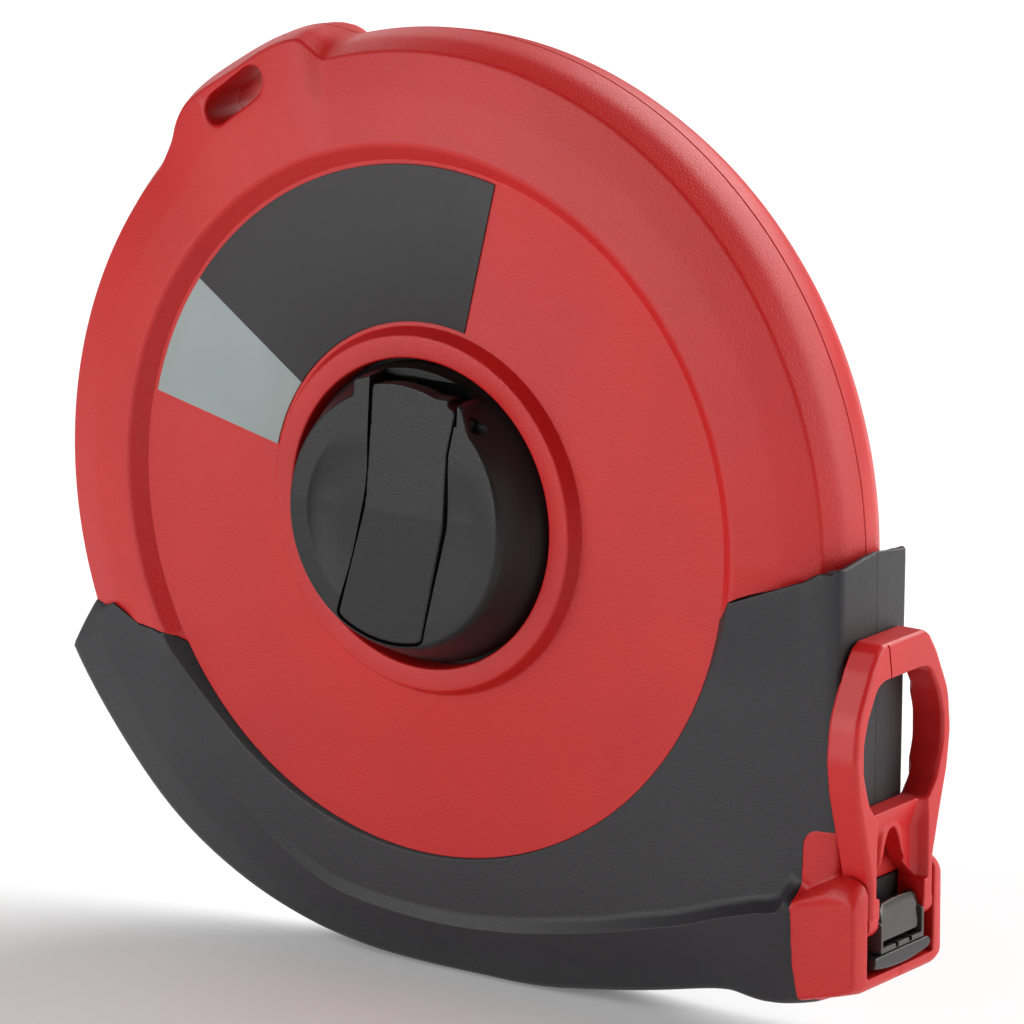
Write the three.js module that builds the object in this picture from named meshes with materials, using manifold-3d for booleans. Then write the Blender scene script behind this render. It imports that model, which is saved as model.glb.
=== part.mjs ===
// A closed-case surveyor's tape reel: two moulded half shells with rubber bumpers,
// a drum of fibreglass tape, a fold-out crank in the front and a finger loop on the tape end.
//
// Units are millimetres. +Z is up, +X points at the tape mouth, and the crank faces -Y.
// The origin is on the drum axis, on the flat disc at the back of the case.

import * as THREE from 'three';
import { mergeVertices } from 'three/addons/utils/BufferGeometryUtils.js';
import Module from 'manifold-3d';

const wasm = await Module();
wasm.setup();

// ---------------------------------------------------------------- driving dimensions

// Case
const discRadius = 70; // flat recessed disc on each side
const discGap = 24.5; // from the back disc to the front disc
const bandHeight = 3; // raised band above its disc
const bandTopRadius = 73.3; // where the slope from the disc meets the top of the band
const caseRadius = 94.5; // round part of the case, at the seam
const sideDraft = 3.5; // how far the side wall leans in from the seam to the crease
const wallX = 97; // flat wall on the mouth side
const discThickness = 2.2;
const wallThickness = 2.6;
const bumperThickness = 1.7;
const mouldingGap = 0.3; // between pieces that touch
const seamGap = 0.05; // each half stops this far from the seam plane
const pastSeam = 2; // solids run on past the seam until the halves are cut
const groundZ = -95.8; // the flat that the case stands on

// Ring round the crank
const ringInner = 31.1;
const ringOuter = 35.6;
const ringFoot = 37;
const ringHeight = 3.2;

// Tape and drum
const tapeWidth = 13;
const tapeThickness = 0.45;
const coilInner = 24.6;
const coilOuter = 68.6;
const flangeRadius = 70.5;
const barrelRadius = 24.2;

// Crank
const knobHeight = 12; // front face above the front disc
const knobBase = 30.3;
const knobTop = 25.2;
const armThickness = 5.5;
const hingeZ = 20.8;
const hingeHeight = 8; // hinge axis above the front disc
const hingePinRadius = 1.25;
const fingerKnobX = -1;
const fingerKnobZ = -12;
const fingerKnobRadius = 7;

// Mouth and finger loop
const mouthFront = 103; // front of the cheeks
const cheekOuter = 16; // half-widths, from the seam plane
const cheekInner = 11.8;
const pocketBack = 97.2;
const pocketFloor = -77.9;
const pivotX = 100.4;
const pivotZ = -67.4;
const pivotRadius = 1;

// Derived
const seamY = -discGap / 2;
const halfGap = discGap / 2;
const frontDisc = -discGap;
const segments = 60;
const degree = Math.PI / 180;

// ---------------------------------------------------------------- helpers

const height = (h) => frontDisc - h; // y of a point h above the front disc

function solid(geometry) {
  const bare = geometry.index ? geometry.toNonIndexed() : geometry.clone();
  bare.deleteAttribute('normal');
  bare.deleteAttribute('uv');
  const merged = mergeVertices(bare, 1e-4);
  const position = merged.attributes.position;
  const corners = [];
  let volume = 0;
  const a = new THREE.Vector3();
  const b = new THREE.Vector3();
  const c = new THREE.Vector3();
  for (let i = 0; i < merged.index.count; i += 3) {
    const face = [0, 1, 2].map((k) => merged.index.getX(i + k));
    if (new Set(face).size < 3) continue;
    a.fromBufferAttribute(position, face[0]);
    b.fromBufferAttribute(position, face[1]);
    c.fromBufferAttribute(position, face[2]);
    volume += a.dot(b.cross(c));
    corners.push(...face);
  }
  if (volume < 0) {
    corners.reverse();
  }
  return new wasm.Manifold(new wasm.Mesh({
    numProp: 3,
    vertProperties: Float32Array.from(position.array),
    triVerts: Uint32Array.from(corners),
  }));
}

function box(x0, x1, y0, y1, z0, z1) {
  const geometry = new THREE.BoxGeometry(x1 - x0, y1 - y0, z1 - z0);
  geometry.translate((x0 + x1) / 2, (y0 + y1) / 2, (z0 + z1) / 2);
  return solid(geometry);
}

// A box given by half-width from the seam plane.
const seamBox = (x0, x1, halfWidth, z0, z1) =>
  box(x0, x1, seamY - halfWidth, seamY + halfWidth, z0, z1);

function cylinderY(radius, y0, y1, x = 0, z = 0, sides = 32, radiusFront = radius) {
  const geometry = new THREE.CylinderGeometry(radius, radiusFront, y1 - y0, sides);
  geometry.translate(x, (y0 + y1) / 2, z);
  return solid(geometry);
}

function cylinderX(radius, x0, x1, y, z, sides = 24) {
  const geometry = new THREE.CylinderGeometry(radius, radius, x1 - x0, sides);
  geometry.rotateZ(Math.PI / 2);
  geometry.translate((x0 + x1) / 2, y, z);
  return solid(geometry);
}

function revolve(profile, sides = segments) {
  const points = profile.map(([r, y]) => new THREE.Vector2(r, y));
  return solid(new THREE.LatheGeometry(points, sides));
}

// A shape drawn in X and Z, extruded along Y.
function prism(shape, y0, y1, bevel = 0, curveSegments = 12) {
  const geometry = new THREE.ExtrudeGeometry(shape, {
    depth: y1 - y0 - 2 * bevel,
    bevelEnabled: bevel > 0,
    bevelThickness: bevel,
    bevelSize: bevel,
    bevelOffset: -bevel,
    bevelSegments: 2,
    curveSegments,
  });
  geometry.rotateX(Math.PI / 2);
  geometry.translate(0, y1 - bevel, 0);
  return solid(geometry);
}

function polygon(points) {
  return new THREE.Shape(points.map(([x, z]) => new THREE.Vector2(x, z)));
}

const union = (...solids) => solids.reduce((sum, next) => sum.add(next));
const cut = (body, ...tools) => tools.reduce((left, tool) => left.subtract(tool), body);
const mirrored = (body) => body.mirror([0, 1, 0]).translate([0, 2 * seamY, 0]);

const group = new THREE.Group();

function place(name, body, colour, roughness, metalness = 0) {
  const made = body.getMesh();
  const geometry = new THREE.BufferGeometry();
  geometry.setAttribute('position', new THREE.BufferAttribute(made.vertProperties, 3));
  geometry.setIndex(new THREE.BufferAttribute(made.triVerts, 1));
  geometry.computeVertexNormals();
  const material = new THREE.MeshStandardMaterial({ color: colour, roughness, metalness });
  const mesh = new THREE.Mesh(geometry, material);
  mesh.name = name;
  group.add(mesh);
  return mesh;
}

const red = 0xc02a2c;
const black = 0x2a292c;
const darkGrey = 0x3a383b;
const steel = 0xa9abad;
const tapeWhite = 0xe9e4cf;

// ---------------------------------------------------------------- outline of the case

// Bumper outline at the seam, from the tip on the left to the mouth on the right.
const bumperCurve = new THREE.CatmullRomCurve3([
  [-95.7, -43.2],
  [-83.9, -60.3],
  [-68, -76.8],
  [-52.2, -86.6],
  [-36, -92.6],
  [-20, -95.6],
  [-6, -96.2],
  [7, -96.3],
  [20, -96.2],
  [33.9, -94.6],
  [47, -92.4],
  [60, -89.5],
  [70, -87.6],
  [78, -88.4],
  [86, -87.1],
  [93, -84.9],
  [97, -80],
].map(([x, z]) => new THREE.Vector3(x, 0, z)));
const bumperPoints = bumperCurve.getPoints(160).map((p) => ({
  angle: Math.atan2(p.z, p.x),
  radius: Math.hypot(p.x, p.z),
}));

const bumperLeftAngle = -156 * degree;
const wallTopAngle = 2.4 * degree;
const wallFootAngle = Math.atan2(-80, wallX);

// The lug for a lanyard stands out of the top left of the case. Its front edge is a straight chord.
const lugRadius = 99.4;
const lugAngle = 121.8 * degree;
const lugChord = 96.1;
const lugStart = 106 * degree;
const lugEnd = 136 * degree;
const lugBlend = 5 * degree;

const clamp01 = (value) => Math.min(1, Math.max(0, value));
const smooth = (value) => value * value * (3 - 2 * value);

function bumperRadius(angle) {
  const next = bumperPoints.findIndex((p) => p.angle >= angle);
  if (next < 1) return bumperPoints[0].radius;
  const before = bumperPoints[next - 1];
  const after = bumperPoints[next];
  const share = (angle - before.angle) / (after.angle - before.angle);
  return before.radius + share * (after.radius - before.radius);
}

function lugShare(angle) {
  const rise = smooth(clamp01((angle - lugStart) / lugBlend));
  const fall = smooth(clamp01((lugEnd - angle) / lugBlend));
  return Math.min(rise, fall);
}

function outlineRadius(angle) {
  if (angle >= bumperLeftAngle && angle < wallFootAngle) return bumperRadius(angle);
  if (angle >= wallFootAngle && angle < wallTopAngle) return wallX / Math.cos(angle);
  return caseRadius + lugShare(angle) * (lugRadius - caseRadius);
}

const inBumper = (angle) => angle >= bumperLeftAngle && angle < wallTopAngle;

// How far the wall leans in, and how high the crease is above the seam.
function draftAt(angle) {
  if (!inBumper(angle)) {
    const share = lugShare(angle);
    const lugDraft = lugRadius - lugChord / Math.cos(angle - lugAngle);
    return share > 0 ? sideDraft + share * (lugDraft - sideDraft) : sideDraft;
  }
  const left = smooth(clamp01((angle + 125 * degree) / (25 * degree)));
  return sideDraft - left * (sideDraft - 0.9);
}

function creaseHeight(angle) {
  if (!inBumper(angle)) return halfGap - 2.1;
  const right = smooth(clamp01((angle + 100 * degree) / (40 * degree)));
  return halfGap - 4 + right * 3;
}

// One half of the case as a solid from just past the seam to the outside, with its skin moved in
// by insetAt(angle) and its disc by discInset. The profile changes round the case, so each
// ring point is placed by its angle. The inside leaves out the points that round off the crease.
const allRings = [0, 1, 2, 3, 4, 5, 6, 7, 8, 9];
const insideRings = [0, 1, 2, 4, 7, 8, 9];

function halfBody(insetAt, discInset, used = allRings) {
  const rings = used.length;
  const profile = [];
  for (let i = 0; i < rings; i += 1) {
    profile.push(new THREE.Vector2(i === 0 || i === rings - 1 ? 0 : 1, i));
  }
  const geometry = new THREE.LatheGeometry(profile, segments);
  const position = geometry.attributes.position;
  for (let v = 0; v < position.count; v += 1) {
    const ring = v % rings;
    const turn = Math.floor(v / rings) * 2 * Math.PI / segments;
    const angle = Math.atan2(Math.cos(turn), Math.sin(turn));
    const inset = insetAt(angle);
    const edge = outlineRadius(angle) - inset;
    const crease = edge - draftAt(angle);
    const creaseUp = creaseHeight(angle) - 0.7 * inset;
    const bandUp = halfGap + bandHeight - inset;
    const [radius, up] = [
      [0, halfGap - discInset],
      [discRadius, halfGap - discInset],
      [bandTopRadius, bandUp],
      [bandTopRadius + 0.55 * (crease - bandTopRadius), bandUp + 0.55 * (creaseUp - bandUp) + 0.5],
      [crease - 1, creaseUp + 0.3],
      [crease + 0.6, creaseUp - 1],
      [crease + 0.85 * (edge - crease), 2],
      [edge, 0],
      [edge, -pastSeam],
      [0, -pastSeam],
    ][used[ring]];
    position.setXYZ(v, radius * Math.sin(turn), seamY - up, radius * Math.cos(turn));
  }
  return solid(geometry);
}

// ---------------------------------------------------------------- case shells and bumpers

// The area that the bumper covers, seen from the front. The disc and the mouth stay red.
const bumperArea = polygon([
  [70, -11], [73.3, -7.8], [97, 4.2], [125, 18], [125, -110], [-125, -110],
  [-125, -26.4], [-86.2, -31.5], [-66, -34.2], [-50, -33], [0, -20],
]);
const mouthPatch = polygon([
  [88.5, -52], [92, -50.3], [130, -47], [130, -100], [89, -100], [88.3, -82.4], [86.6, -65.7], [86.5, -55],
]);
// The same area grown by the gap between the two mouldings.
const bumperAreaGrown = polygon([
  [69.7, -10.8], [73.2, -7.4], [96.9, 4.6], [125, 18.5], [125, -110], [-125, -110],
  [-125, -26], [-86.2, -31.1], [-66, -33.8], [-50, -32.6], [0, -19],
]);
const mouthPatchShrunk = polygon([
  [88.7, -52.2], [92.1, -50.6], [130, -47.3], [130, -100], [89.3, -100], [88.6, -82.4], [86.9, -65.7],
  [86.8, -55.2],
]);

const farFront = seamY - 40;
const farBack = seamY + 2 * pastSeam;
const bumperRegion = cut(
  prism(bumperArea, farFront, farBack),
  prism(mouthPatch, farFront - 1, farBack + 1),
  cylinderY(discRadius, farFront - 1, farBack + 1, 0, 0, segments),
);
const bumperRegionGrown = cut(
  prism(bumperAreaGrown, farFront, farBack),
  prism(mouthPatchShrunk, farFront - 1, farBack + 1),
  cylinderY(discRadius - mouldingGap, farFront - 1, farBack + 1, 0, 0, segments),
);
const frontHalf = box(-200, 200, farFront - 10, seamY - seamGap, -200, 200);

const underThickness = bumperThickness + mouldingGap;
const skin = halfBody(() => 0, 0);
const underBumper = halfBody(() => bumperThickness, bumperThickness);
const underBumperGap = halfBody(() => underThickness, underThickness);
const hollowInset = (angle) => wallThickness + (inBumper(angle) ? 1.8 : 0);
const hollow = halfBody(hollowInset, discThickness, insideRings);
const hollowSide = cut(hollow, seamBox(90, 140, 30, -120, 60));

const mouthShape = polygon([
  [87, -57.5], [mouthFront, -57], [mouthFront + 0.4, -79.4], [mouthFront - 2, -81.4], [89, -86.4],
]);
const mouthBlock = prism(mouthShape, seamY - cheekOuter, seamY + cheekOuter, 1.8);

const ground = box(-150, 150, -60, 30, -120, groundZ);

const ring = revolve([
  [0, height(ringHeight)],
  [ringOuter, height(ringHeight)],
  [ringFoot, height(0)],
  [ringFoot, height(-1)],
  [0, height(-1)],
]);

// Lanyard slot through both halves of the lug.
const slotLength = 16;
const slotWidth = 6.4;
const slotCentreX = -48.2;
const slotCentreZ = 77.8;
const slotTilt = 36.6 * degree;
const slotShape = new THREE.Shape();
slotShape.absarc(slotLength / 2 - slotWidth / 2, 0, slotWidth / 2, -Math.PI / 2, Math.PI / 2);
slotShape.absarc(slotWidth / 2 - slotLength / 2, 0, slotWidth / 2, Math.PI / 2, 1.5 * Math.PI);
const growSlot = 2;
const slotWallShape = new THREE.Shape();
slotWallShape.absarc(slotLength / 2 - slotWidth / 2, 0, slotWidth / 2 + growSlot, -Math.PI / 2, Math.PI / 2);
slotWallShape.absarc(
  slotWidth / 2 - slotLength / 2, 0, slotWidth / 2 + growSlot, Math.PI / 2, 1.5 * Math.PI,
);

function atSlot(shape) {
  const geometry = new THREE.ExtrudeGeometry(shape, { depth: 60, bevelEnabled: false, curveSegments: 6 });
  geometry.rotateX(Math.PI / 2);
  geometry.rotateY(-slotTilt);
  geometry.translate(slotCentreX, 20, slotCentreZ);
  return solid(geometry);
}
const slotHole = atSlot(slotShape);
const slotWall = atSlot(slotWallShape);

// Screw places, clear of the drum, the slot and the tape's way out.
const screwPlaces = [[39, 67.5], [-67.5, 39], [-63.9, -44.7], [62, -79], [83.5, -12]];
const bossRadius = 4.4;
const screwHeadRadius = 3;
const screwShank = 1.5;
const screwHeadBack = -0.2; // y of the back of the head
const screwHeadThickness = 1.8;
const screwTip = -20;

// Duct that the mouth insert fits in, between the cheeks.
const insertHalfWidth = 9.8;
const insertBottom = -77.6;
const insertTop = -62;
const ductBottom = insertBottom - mouldingGap;
const ductTop = insertTop + mouldingGap;
const duct = seamBox(84, 100, insertHalfWidth + mouldingGap, ductBottom, ductTop);
const pocket = seamBox(pocketBack, 130, cheekInner, pocketFloor, -40);

function halfShell() {
  const bumperLayer = cut(bumperRegionGrown, underBumperGap);
  const outer = union(cut(skin, bumperLayer), mouthBlock);
  const bosses = screwPlaces.map(([x, z]) => cylinderY(bossRadius, farFront, farBack, x, z, 12));
  const inside = cut(hollowSide, ...bosses, slotWall);
  return cut(outer, inside, duct, pocket, slotHole, ground).intersect(frontHalf);
}

const plainHalf = halfShell();
const windowFront = cylinderY(ringInner, farFront, seamY + 1, 0, 0, segments);
const posts = screwPlaces.map(([x, z]) => cylinderY(screwShank + 0.15, screwTip - 0.4, seamY + 1, x, z, 10));
place('front_shell', cut(union(plainHalf, ring), windowFront, ...posts), red, 0.55);

const screwHoles = screwPlaces.flatMap(([x, z]) => [
  cylinderY(screwShank + 0.25, seamY - 1, 10, x, z, 10),
  cylinderY(screwHeadRadius + 0.3, screwHeadBack - screwHeadThickness - 0.15, 10, x, z, 16),
]);
const spindleRadius = 3.95;
const spindleBoss = cylinderY(7.5, -3, -1, 0, 0, 24);
const spindleSeat = cylinderY(spindleRadius + 0.1, -3.5, -0.8, 0, 0, 24);
place(
  'rear_shell',
  cut(union(mirrored(plainHalf), spindleBoss), spindleSeat, ...screwHoles),
  red,
  0.55,
);

const bumperHalf = cut(skin.intersect(bumperRegion), underBumper, mouthBlock, pocket, ground)
  .intersect(frontHalf);
place('front_bumper', bumperHalf, black, 0.6);
const screwHolesInBumper = screwPlaces.slice(2).map(([x, z]) =>
  cylinderY(screwHeadRadius + 0.6, seamY, 10, x, z, 16));
place('rear_bumper', cut(mirrored(bumperHalf), ...screwHolesInBumper), black, 0.6);

screwPlaces.forEach(([x, z], i) => {
  const profile = [
    [0, screwTip],
    [screwShank, screwTip + 1],
    [screwShank, screwHeadBack - screwHeadThickness],
    [screwHeadRadius, screwHeadBack - screwHeadThickness],
    [screwHeadRadius, screwHeadBack - 0.5],
    [screwHeadRadius - 0.6, screwHeadBack],
    [0, screwHeadBack],
  ];
  const socket = box(-1.9, 1.9, -1.4, 5, -0.4, 0.4);
  const cross = union(socket, box(-0.4, 0.4, -1.4, 5, -1.9, 1.9));
  place(`case_screw_${i + 1}`, cut(revolve(profile, 12), cross).translate([x, 0, z]), steel, 0.35, 0.9);
});

// Label: a film on the upper left of the front disc, between two radial edges.
const labelStart = 76.4 * degree;
const labelEnd = 166.7 * degree;
const labelShape = new THREE.Shape();
labelShape.absarc(0, 0, discRadius - 0.9, labelStart, labelEnd, false);
labelShape.absarc(0, 0, ringFoot + 0.9, labelEnd, labelStart, true);
const labelFilm = 0.25;
place('label', prism(labelShape, height(labelFilm + 0.05), height(0.05), 0, 20), 0x4a494b, 0.5);

// ---------------------------------------------------------------- mouth insert

const tapeDrop = 1.1; // the leader runs this far below the coil
const tapeZ = -(coilOuter + tapeDrop + tapeThickness / 2);
const slotHalfHeight = 1.5;
const insertBody = seamBox(84.4, pocketBack - 0.2, insertHalfWidth, insertBottom, insertTop);
const lipFront = 103.9;
const lipTop = -74.1;
const lipNoseRadius = (lipTop - insertBottom) / 2;
const lipNoseX = lipFront - lipNoseRadius;
const lipNoseZ = lipTop - lipNoseRadius;
const lip = seamBox(pocketBack - 0.4, lipFront, insertHalfWidth, insertBottom, lipTop);
const lipNose = cylinderY(
  lipNoseRadius, seamY - insertHalfWidth, seamY + insertHalfWidth, lipNoseX, lipNoseZ, 16);
const tapeSlot = seamBox(80, 110, 7.6, tapeZ - slotHalfHeight, tapeZ + slotHalfHeight);
const insertHollow = seamBox(80, 94, 8.2, insertBottom + 1.6, tapeZ - slotHalfHeight - 1.2);
const upperHollow = seamBox(80, 94, 8.2, tapeZ + slotHalfHeight + 1.2, insertTop - 1.4);
const lipTrim = cut(seamBox(lipNoseX, 110, 20, -80, -70), lipNose);
place(
  'mouth_insert',
  cut(union(insertBody, cut(lip, lipTrim), lipNose), tapeSlot, insertHollow, upperHollow),
  black,
  0.5,
);

// ---------------------------------------------------------------- drum and tape

const flangeThickness = 1.3;
const rearFlangeFront = -5.3;
const frontFlangeFront = -20.5;
const barrelInner = 21.8;
const webFront = -14;
const webBack = -12;
const drumBossRadius = 7;
const drumBossBack = -3.8;

const drumShell = revolve([
  [drumBossRadius, webFront],
  [barrelInner, webFront],
  [barrelInner, frontFlangeFront],
  [barrelRadius, frontFlangeFront],
  [barrelRadius, rearFlangeFront],
  [flangeRadius, rearFlangeFront],
  [flangeRadius, rearFlangeFront + flangeThickness],
  [barrelInner, rearFlangeFront + flangeThickness],
  [barrelInner, webBack],
  [drumBossRadius, webBack],
  [drumBossRadius, webFront],
]);
const drumBoss = cylinderY(drumBossRadius + 0.2, webFront, drumBossBack, 0, 0, 24);
const hubScrewRadius = 1.6;
const hubScrewTip = -10.5;
const spindleFront = -9;
place(
  'drum',
  cut(
    union(drumShell, drumBoss),
    cylinderY(hubScrewRadius + 0.15, webFront - 1, hubScrewTip + 0.3, 0, 0, 12),
    cylinderY(spindleRadius + 0.12, spindleFront - 0.2, 0, 0, 0, 24),
  ),
  darkGrey,
  0.6,
);

const flangeInner = barrelRadius + 0.1;
place(
  'drum_front_flange',
  revolve([
    [flangeInner, frontFlangeFront],
    [flangeInner, frontFlangeFront + flangeThickness],
    [flangeRadius, frontFlangeFront + flangeThickness],
    [flangeRadius, frontFlangeFront],
    [flangeInner, frontFlangeFront],
  ]),
  darkGrey,
  0.6,
);

const anchorAngle = 40 * degree;
const anchorCentre = coilInner + 1.6;
const anchorX = anchorCentre * Math.cos(anchorAngle);
const anchorZ = anchorCentre * Math.sin(anchorAngle);
const anchorRadius = 1;
const coilFront = seamY - tapeWidth / 2;
const coilBack = seamY + tapeWidth / 2;
const coil = revolve([
  [coilInner, coilFront],
  [coilOuter, coilFront],
  [coilOuter, coilBack],
  [coilInner, coilBack],
  [coilInner, coilFront],
]);
place(
  'tape_coil',
  cut(coil, cylinderY(anchorRadius + 0.15, coilFront - 1, coilBack + 1, anchorX, anchorZ, 16)),
  tapeWhite,
  0.5,
);
place(
  'tape_anchor_pin',
  cylinderY(anchorRadius, coilFront - 0.3, coilBack + 0.3, anchorX, anchorZ, 16),
  steel,
  0.35,
  0.9,
);

place('spindle', cylinderY(spindleRadius, spindleFront, -0.9, 0, 0, 24), steel, 0.3, 0.9);
place(
  'spindle_washer',
  revolve([
    [spindleRadius + 0.2, -3.6],
    [7, -3.6],
    [7, -3.15],
    [spindleRadius + 0.2, -3.15],
    [spindleRadius + 0.2, -3.6],
  ], 24),
  steel,
  0.4,
  0.9,
);

// ---------------------------------------------------------------- crank

// The arm runs down from the hinge, right of the axis, and bends to the left.
const armTopRadius = 27.5;
const armEndRadius = 23.8;

function armShape(grow) {
  const left = [[-6 - grow, 29], [-6.6 - grow, 3], [-13.6 - grow, -24]];
  const right = [[6.6 + grow, -26], [12.3 + grow, 1], [12.5 + grow, 16], [14.2 + grow, 29]];
  return polygon([...left, ...right]);
}

const faceY = height(knobHeight);
const armBack = faceY + armThickness;
const hingeY = height(hingeHeight);

// The face leans back above this height, on the hub and the arm alike.
const bendZ = 2;
const leanBack = 4.4 * degree;
const leanTool = (() => {
  const geometry = new THREE.BoxGeometry(80, 10, 60);
  geometry.translate(0, -5, 30);
  geometry.rotateX(-leanBack);
  geometry.translate(0, faceY, bendZ);
  return solid(geometry);
})();

const hubCone = revolve([
  [0, -20.8],
  [knobBase, -20.8],
  [knobBase, height(1.2)],
  [knobTop + 0.4, height(knobHeight - 0.6)],
  [knobTop - 0.4, faceY],
  [0, faceY],
]);
const hingeHead = revolve([
  [0, height(0)],
  [29.4, height(0)],
  [28.2, height(knobHeight - 0.6)],
  [27.6, faceY],
  [0, faceY],
]).intersect(box(-10.7, 16.8, faceY - 1, 0, 17, 40));
const spigotRadius = 21.5;
const spigotEnd = -14.3;
const spigot = cylinderY(spigotRadius, -21, spigotEnd, 0, 0, segments);

const channelFloor = armBack + 0.3;
const armGap = 0.35;
const channel = prism(armShape(armGap), faceY - 5, channelFloor);
const hingeWell = cylinderX(7.9, -6.4 - armGap, 14 + armGap, hingeY, hingeZ, 24);
const hingeWellOpen = box(-6.4 - armGap, 14 + armGap, faceY - 5, height(3.5), hingeZ, 40);
// Wide enough for the knob's tip, which swings outwards as the arm lifts.
const pocketClearance = 1.4;
const knobPocket = cylinderY(
  fingerKnobRadius + pocketClearance, faceY, -16.4, fingerKnobX, fingerKnobZ, 28);
const pinHole = cylinderX(hingePinRadius + 0.15, -16.2, 30, hingeY, hingeZ, 12);
const hubScrewHead = 3;
const hubScrewHeadFront = channelFloor + 0.3;
const hubScrewSeat = hubScrewHeadFront + 2;
const hubScrewHole = cylinderY(hubScrewRadius + 0.2, faceY, -10, 0, 0, 12);
const hubScrewSink = cylinderY(hubScrewHead + 0.3, faceY, hubScrewSeat + 0.1, 0, 0, 16);

function scoop(x, z, radius, depth) {
  const geometry = new THREE.SphereGeometry(radius, 28, 18);
  geometry.translate(x, faceY - radius + depth, z);
  return solid(geometry);
}
const leftScoop = scoop(-15.5, -2, 34, 1.3);
const rightScoop = scoop(18.5, -3, 34, 1.1);

// Hollow behind the face, left out round the pocket, the screw post and the channel.
const hubHollow = cut(
  revolve([
    [0, -14],
    [19.6, -14],
    [19.6, -21.4],
    [knobBase - 2.4, -21.4],
    [knobBase - 2.4, height(1)],
    [knobTop - 2.6, height(knobHeight - 2.6)],
    [0, height(knobHeight - 2.6)],
    [0, -14],
  ]),
  cylinderY(fingerKnobRadius + pocketClearance + 1.7, faceY, -10, fingerKnobX, fingerKnobZ, 24),
  cylinderY(5, faceY, -10, 0, 0, 20),
  prism(armShape(2), faceY, channelFloor + 1.6),
  box(-19, 19, faceY, height(1.5), 13, 40),
  cylinderX(9.6, -9, 16.6, hingeY, hingeZ, 20),
);

place(
  'crank_hub',
  cut(
    union(hubCone, hingeHead, spigot),
    hubHollow,
    leanTool,
    channel,
    hingeWell,
    hingeWellOpen,
    knobPocket,
    pinHole,
    hubScrewHole,
    hubScrewSink,
    leftScoop,
    rightScoop,
  ),
  darkGrey,
  0.5,
);

const hubScrew = revolve([
  [0, hubScrewHeadFront],
  [hubScrewHead, hubScrewHeadFront],
  [hubScrewHead, hubScrewSeat],
  [hubScrewRadius, hubScrewSeat],
  [hubScrewRadius, hubScrewTip - 0.6],
  [0, hubScrewTip],
], 12);
place('hub_screw', hubScrew, steel, 0.35, 0.9);
place(
  'crank_hinge_pin',
  cylinderX(hingePinRadius, -15.8, 16.2, hingeY, hingeZ, 12),
  steel,
  0.3,
  0.9,
);

const armOutline = prism(armShape(0), faceY, armBack);
const armEnds = union(
  cylinderY(armEndRadius, faceY - 1, armBack + 1, 0, 0, segments).intersect(box(-40, 40, -50, 0, -40, 5)),
  cylinderY(armTopRadius, faceY - 1, armBack + 1, 0, 0, segments).intersect(box(-40, 40, -50, 0, 4.9, 40)),
);
const knuckle = cylinderX(4, -6.3, 13.6, hingeY, hingeZ, 20);
const knobPinRadius = 1.95;
const knobPinTop = armBack - 3.2;
place(
  'crank_arm',
  cut(
    union(armOutline.intersect(armEnds), knuckle),
    leanTool,
    cylinderX(hingePinRadius + 0.15, -30, 30, hingeY, hingeZ, 12),
    cylinderY(knobPinRadius + 0.12, knobPinTop - 0.1, 0, fingerKnobX, fingerKnobZ, 16),
  ),
  darkGrey,
  0.5,
);

const knobFront = armBack + 0.3;
const knobBack = -17.4;
const knobPinHead = 3.5;
const knobPinSeat = knobBack - 2;
const fingerKnob = revolve([
  [knobPinRadius + 0.1, knobFront],
  [fingerKnobRadius - 1, knobFront],
  [fingerKnobRadius - 0.3, knobFront + 1],
  [fingerKnobRadius - 0.9, (knobFront + knobBack) / 2],
  [fingerKnobRadius - 0.6, knobBack - 4],
  [fingerKnobRadius - 1, knobBack - 2],
  [fingerKnobRadius - 1.7, knobBack - 0.4],
  [knobPinHead + 0.9, knobBack],
  [knobPinHead + 0.3, knobBack],
  [knobPinHead + 0.3, knobPinSeat],
  [knobPinRadius + 0.1, knobPinSeat],
  [knobPinRadius + 0.1, knobFront],
], 28).translate([fingerKnobX, 0, fingerKnobZ]);
place('finger_knob', fingerKnob, darkGrey, 0.45);
place(
  'finger_knob_pin',
  revolve([
    [0, knobPinTop],
    [knobPinRadius, knobPinTop],
    [knobPinRadius, knobPinSeat + 0.1],
    [knobPinHead, knobPinSeat + 0.1],
    [knobPinHead, knobBack - 0.5],
    [0, knobBack - 0.5],
  ], 16).translate([fingerKnobX, 0, fingerKnobZ]),
  steel,
  0.3,
  0.9,
);

// ---------------------------------------------------------------- tape end, clamp and finger loop

const leaderStart = 1;
const clampBack = 98.4;
const clampFront = 103;
const plateBack = 101.7;
place(
  'tape_leader',
  seamBox(leaderStart, 100.6, tapeWidth / 2, tapeZ - tapeThickness / 2, tapeZ + tapeThickness / 2),
  tapeWhite,
  0.5,
);

const clampBase = seamBox(clampBack, plateBack + 1, 6.25, tapeZ - 1.2, tapeZ + 1.2);
const clampPlate = cylinderY(9, seamY - 6.25, seamY + 6.25, clampFront - 9, -68.2, 48)
  .intersect(seamBox(plateBack, 110, 6.25, -71.8, -64.5));
const clampSlit = seamBox(90, 100.9, 8, tapeZ - 0.33, tapeZ + 0.33);
place('tape_clamp', cut(union(clampBase, clampPlate), clampSlit), 0x55524f, 0.3, 0.4);

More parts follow.
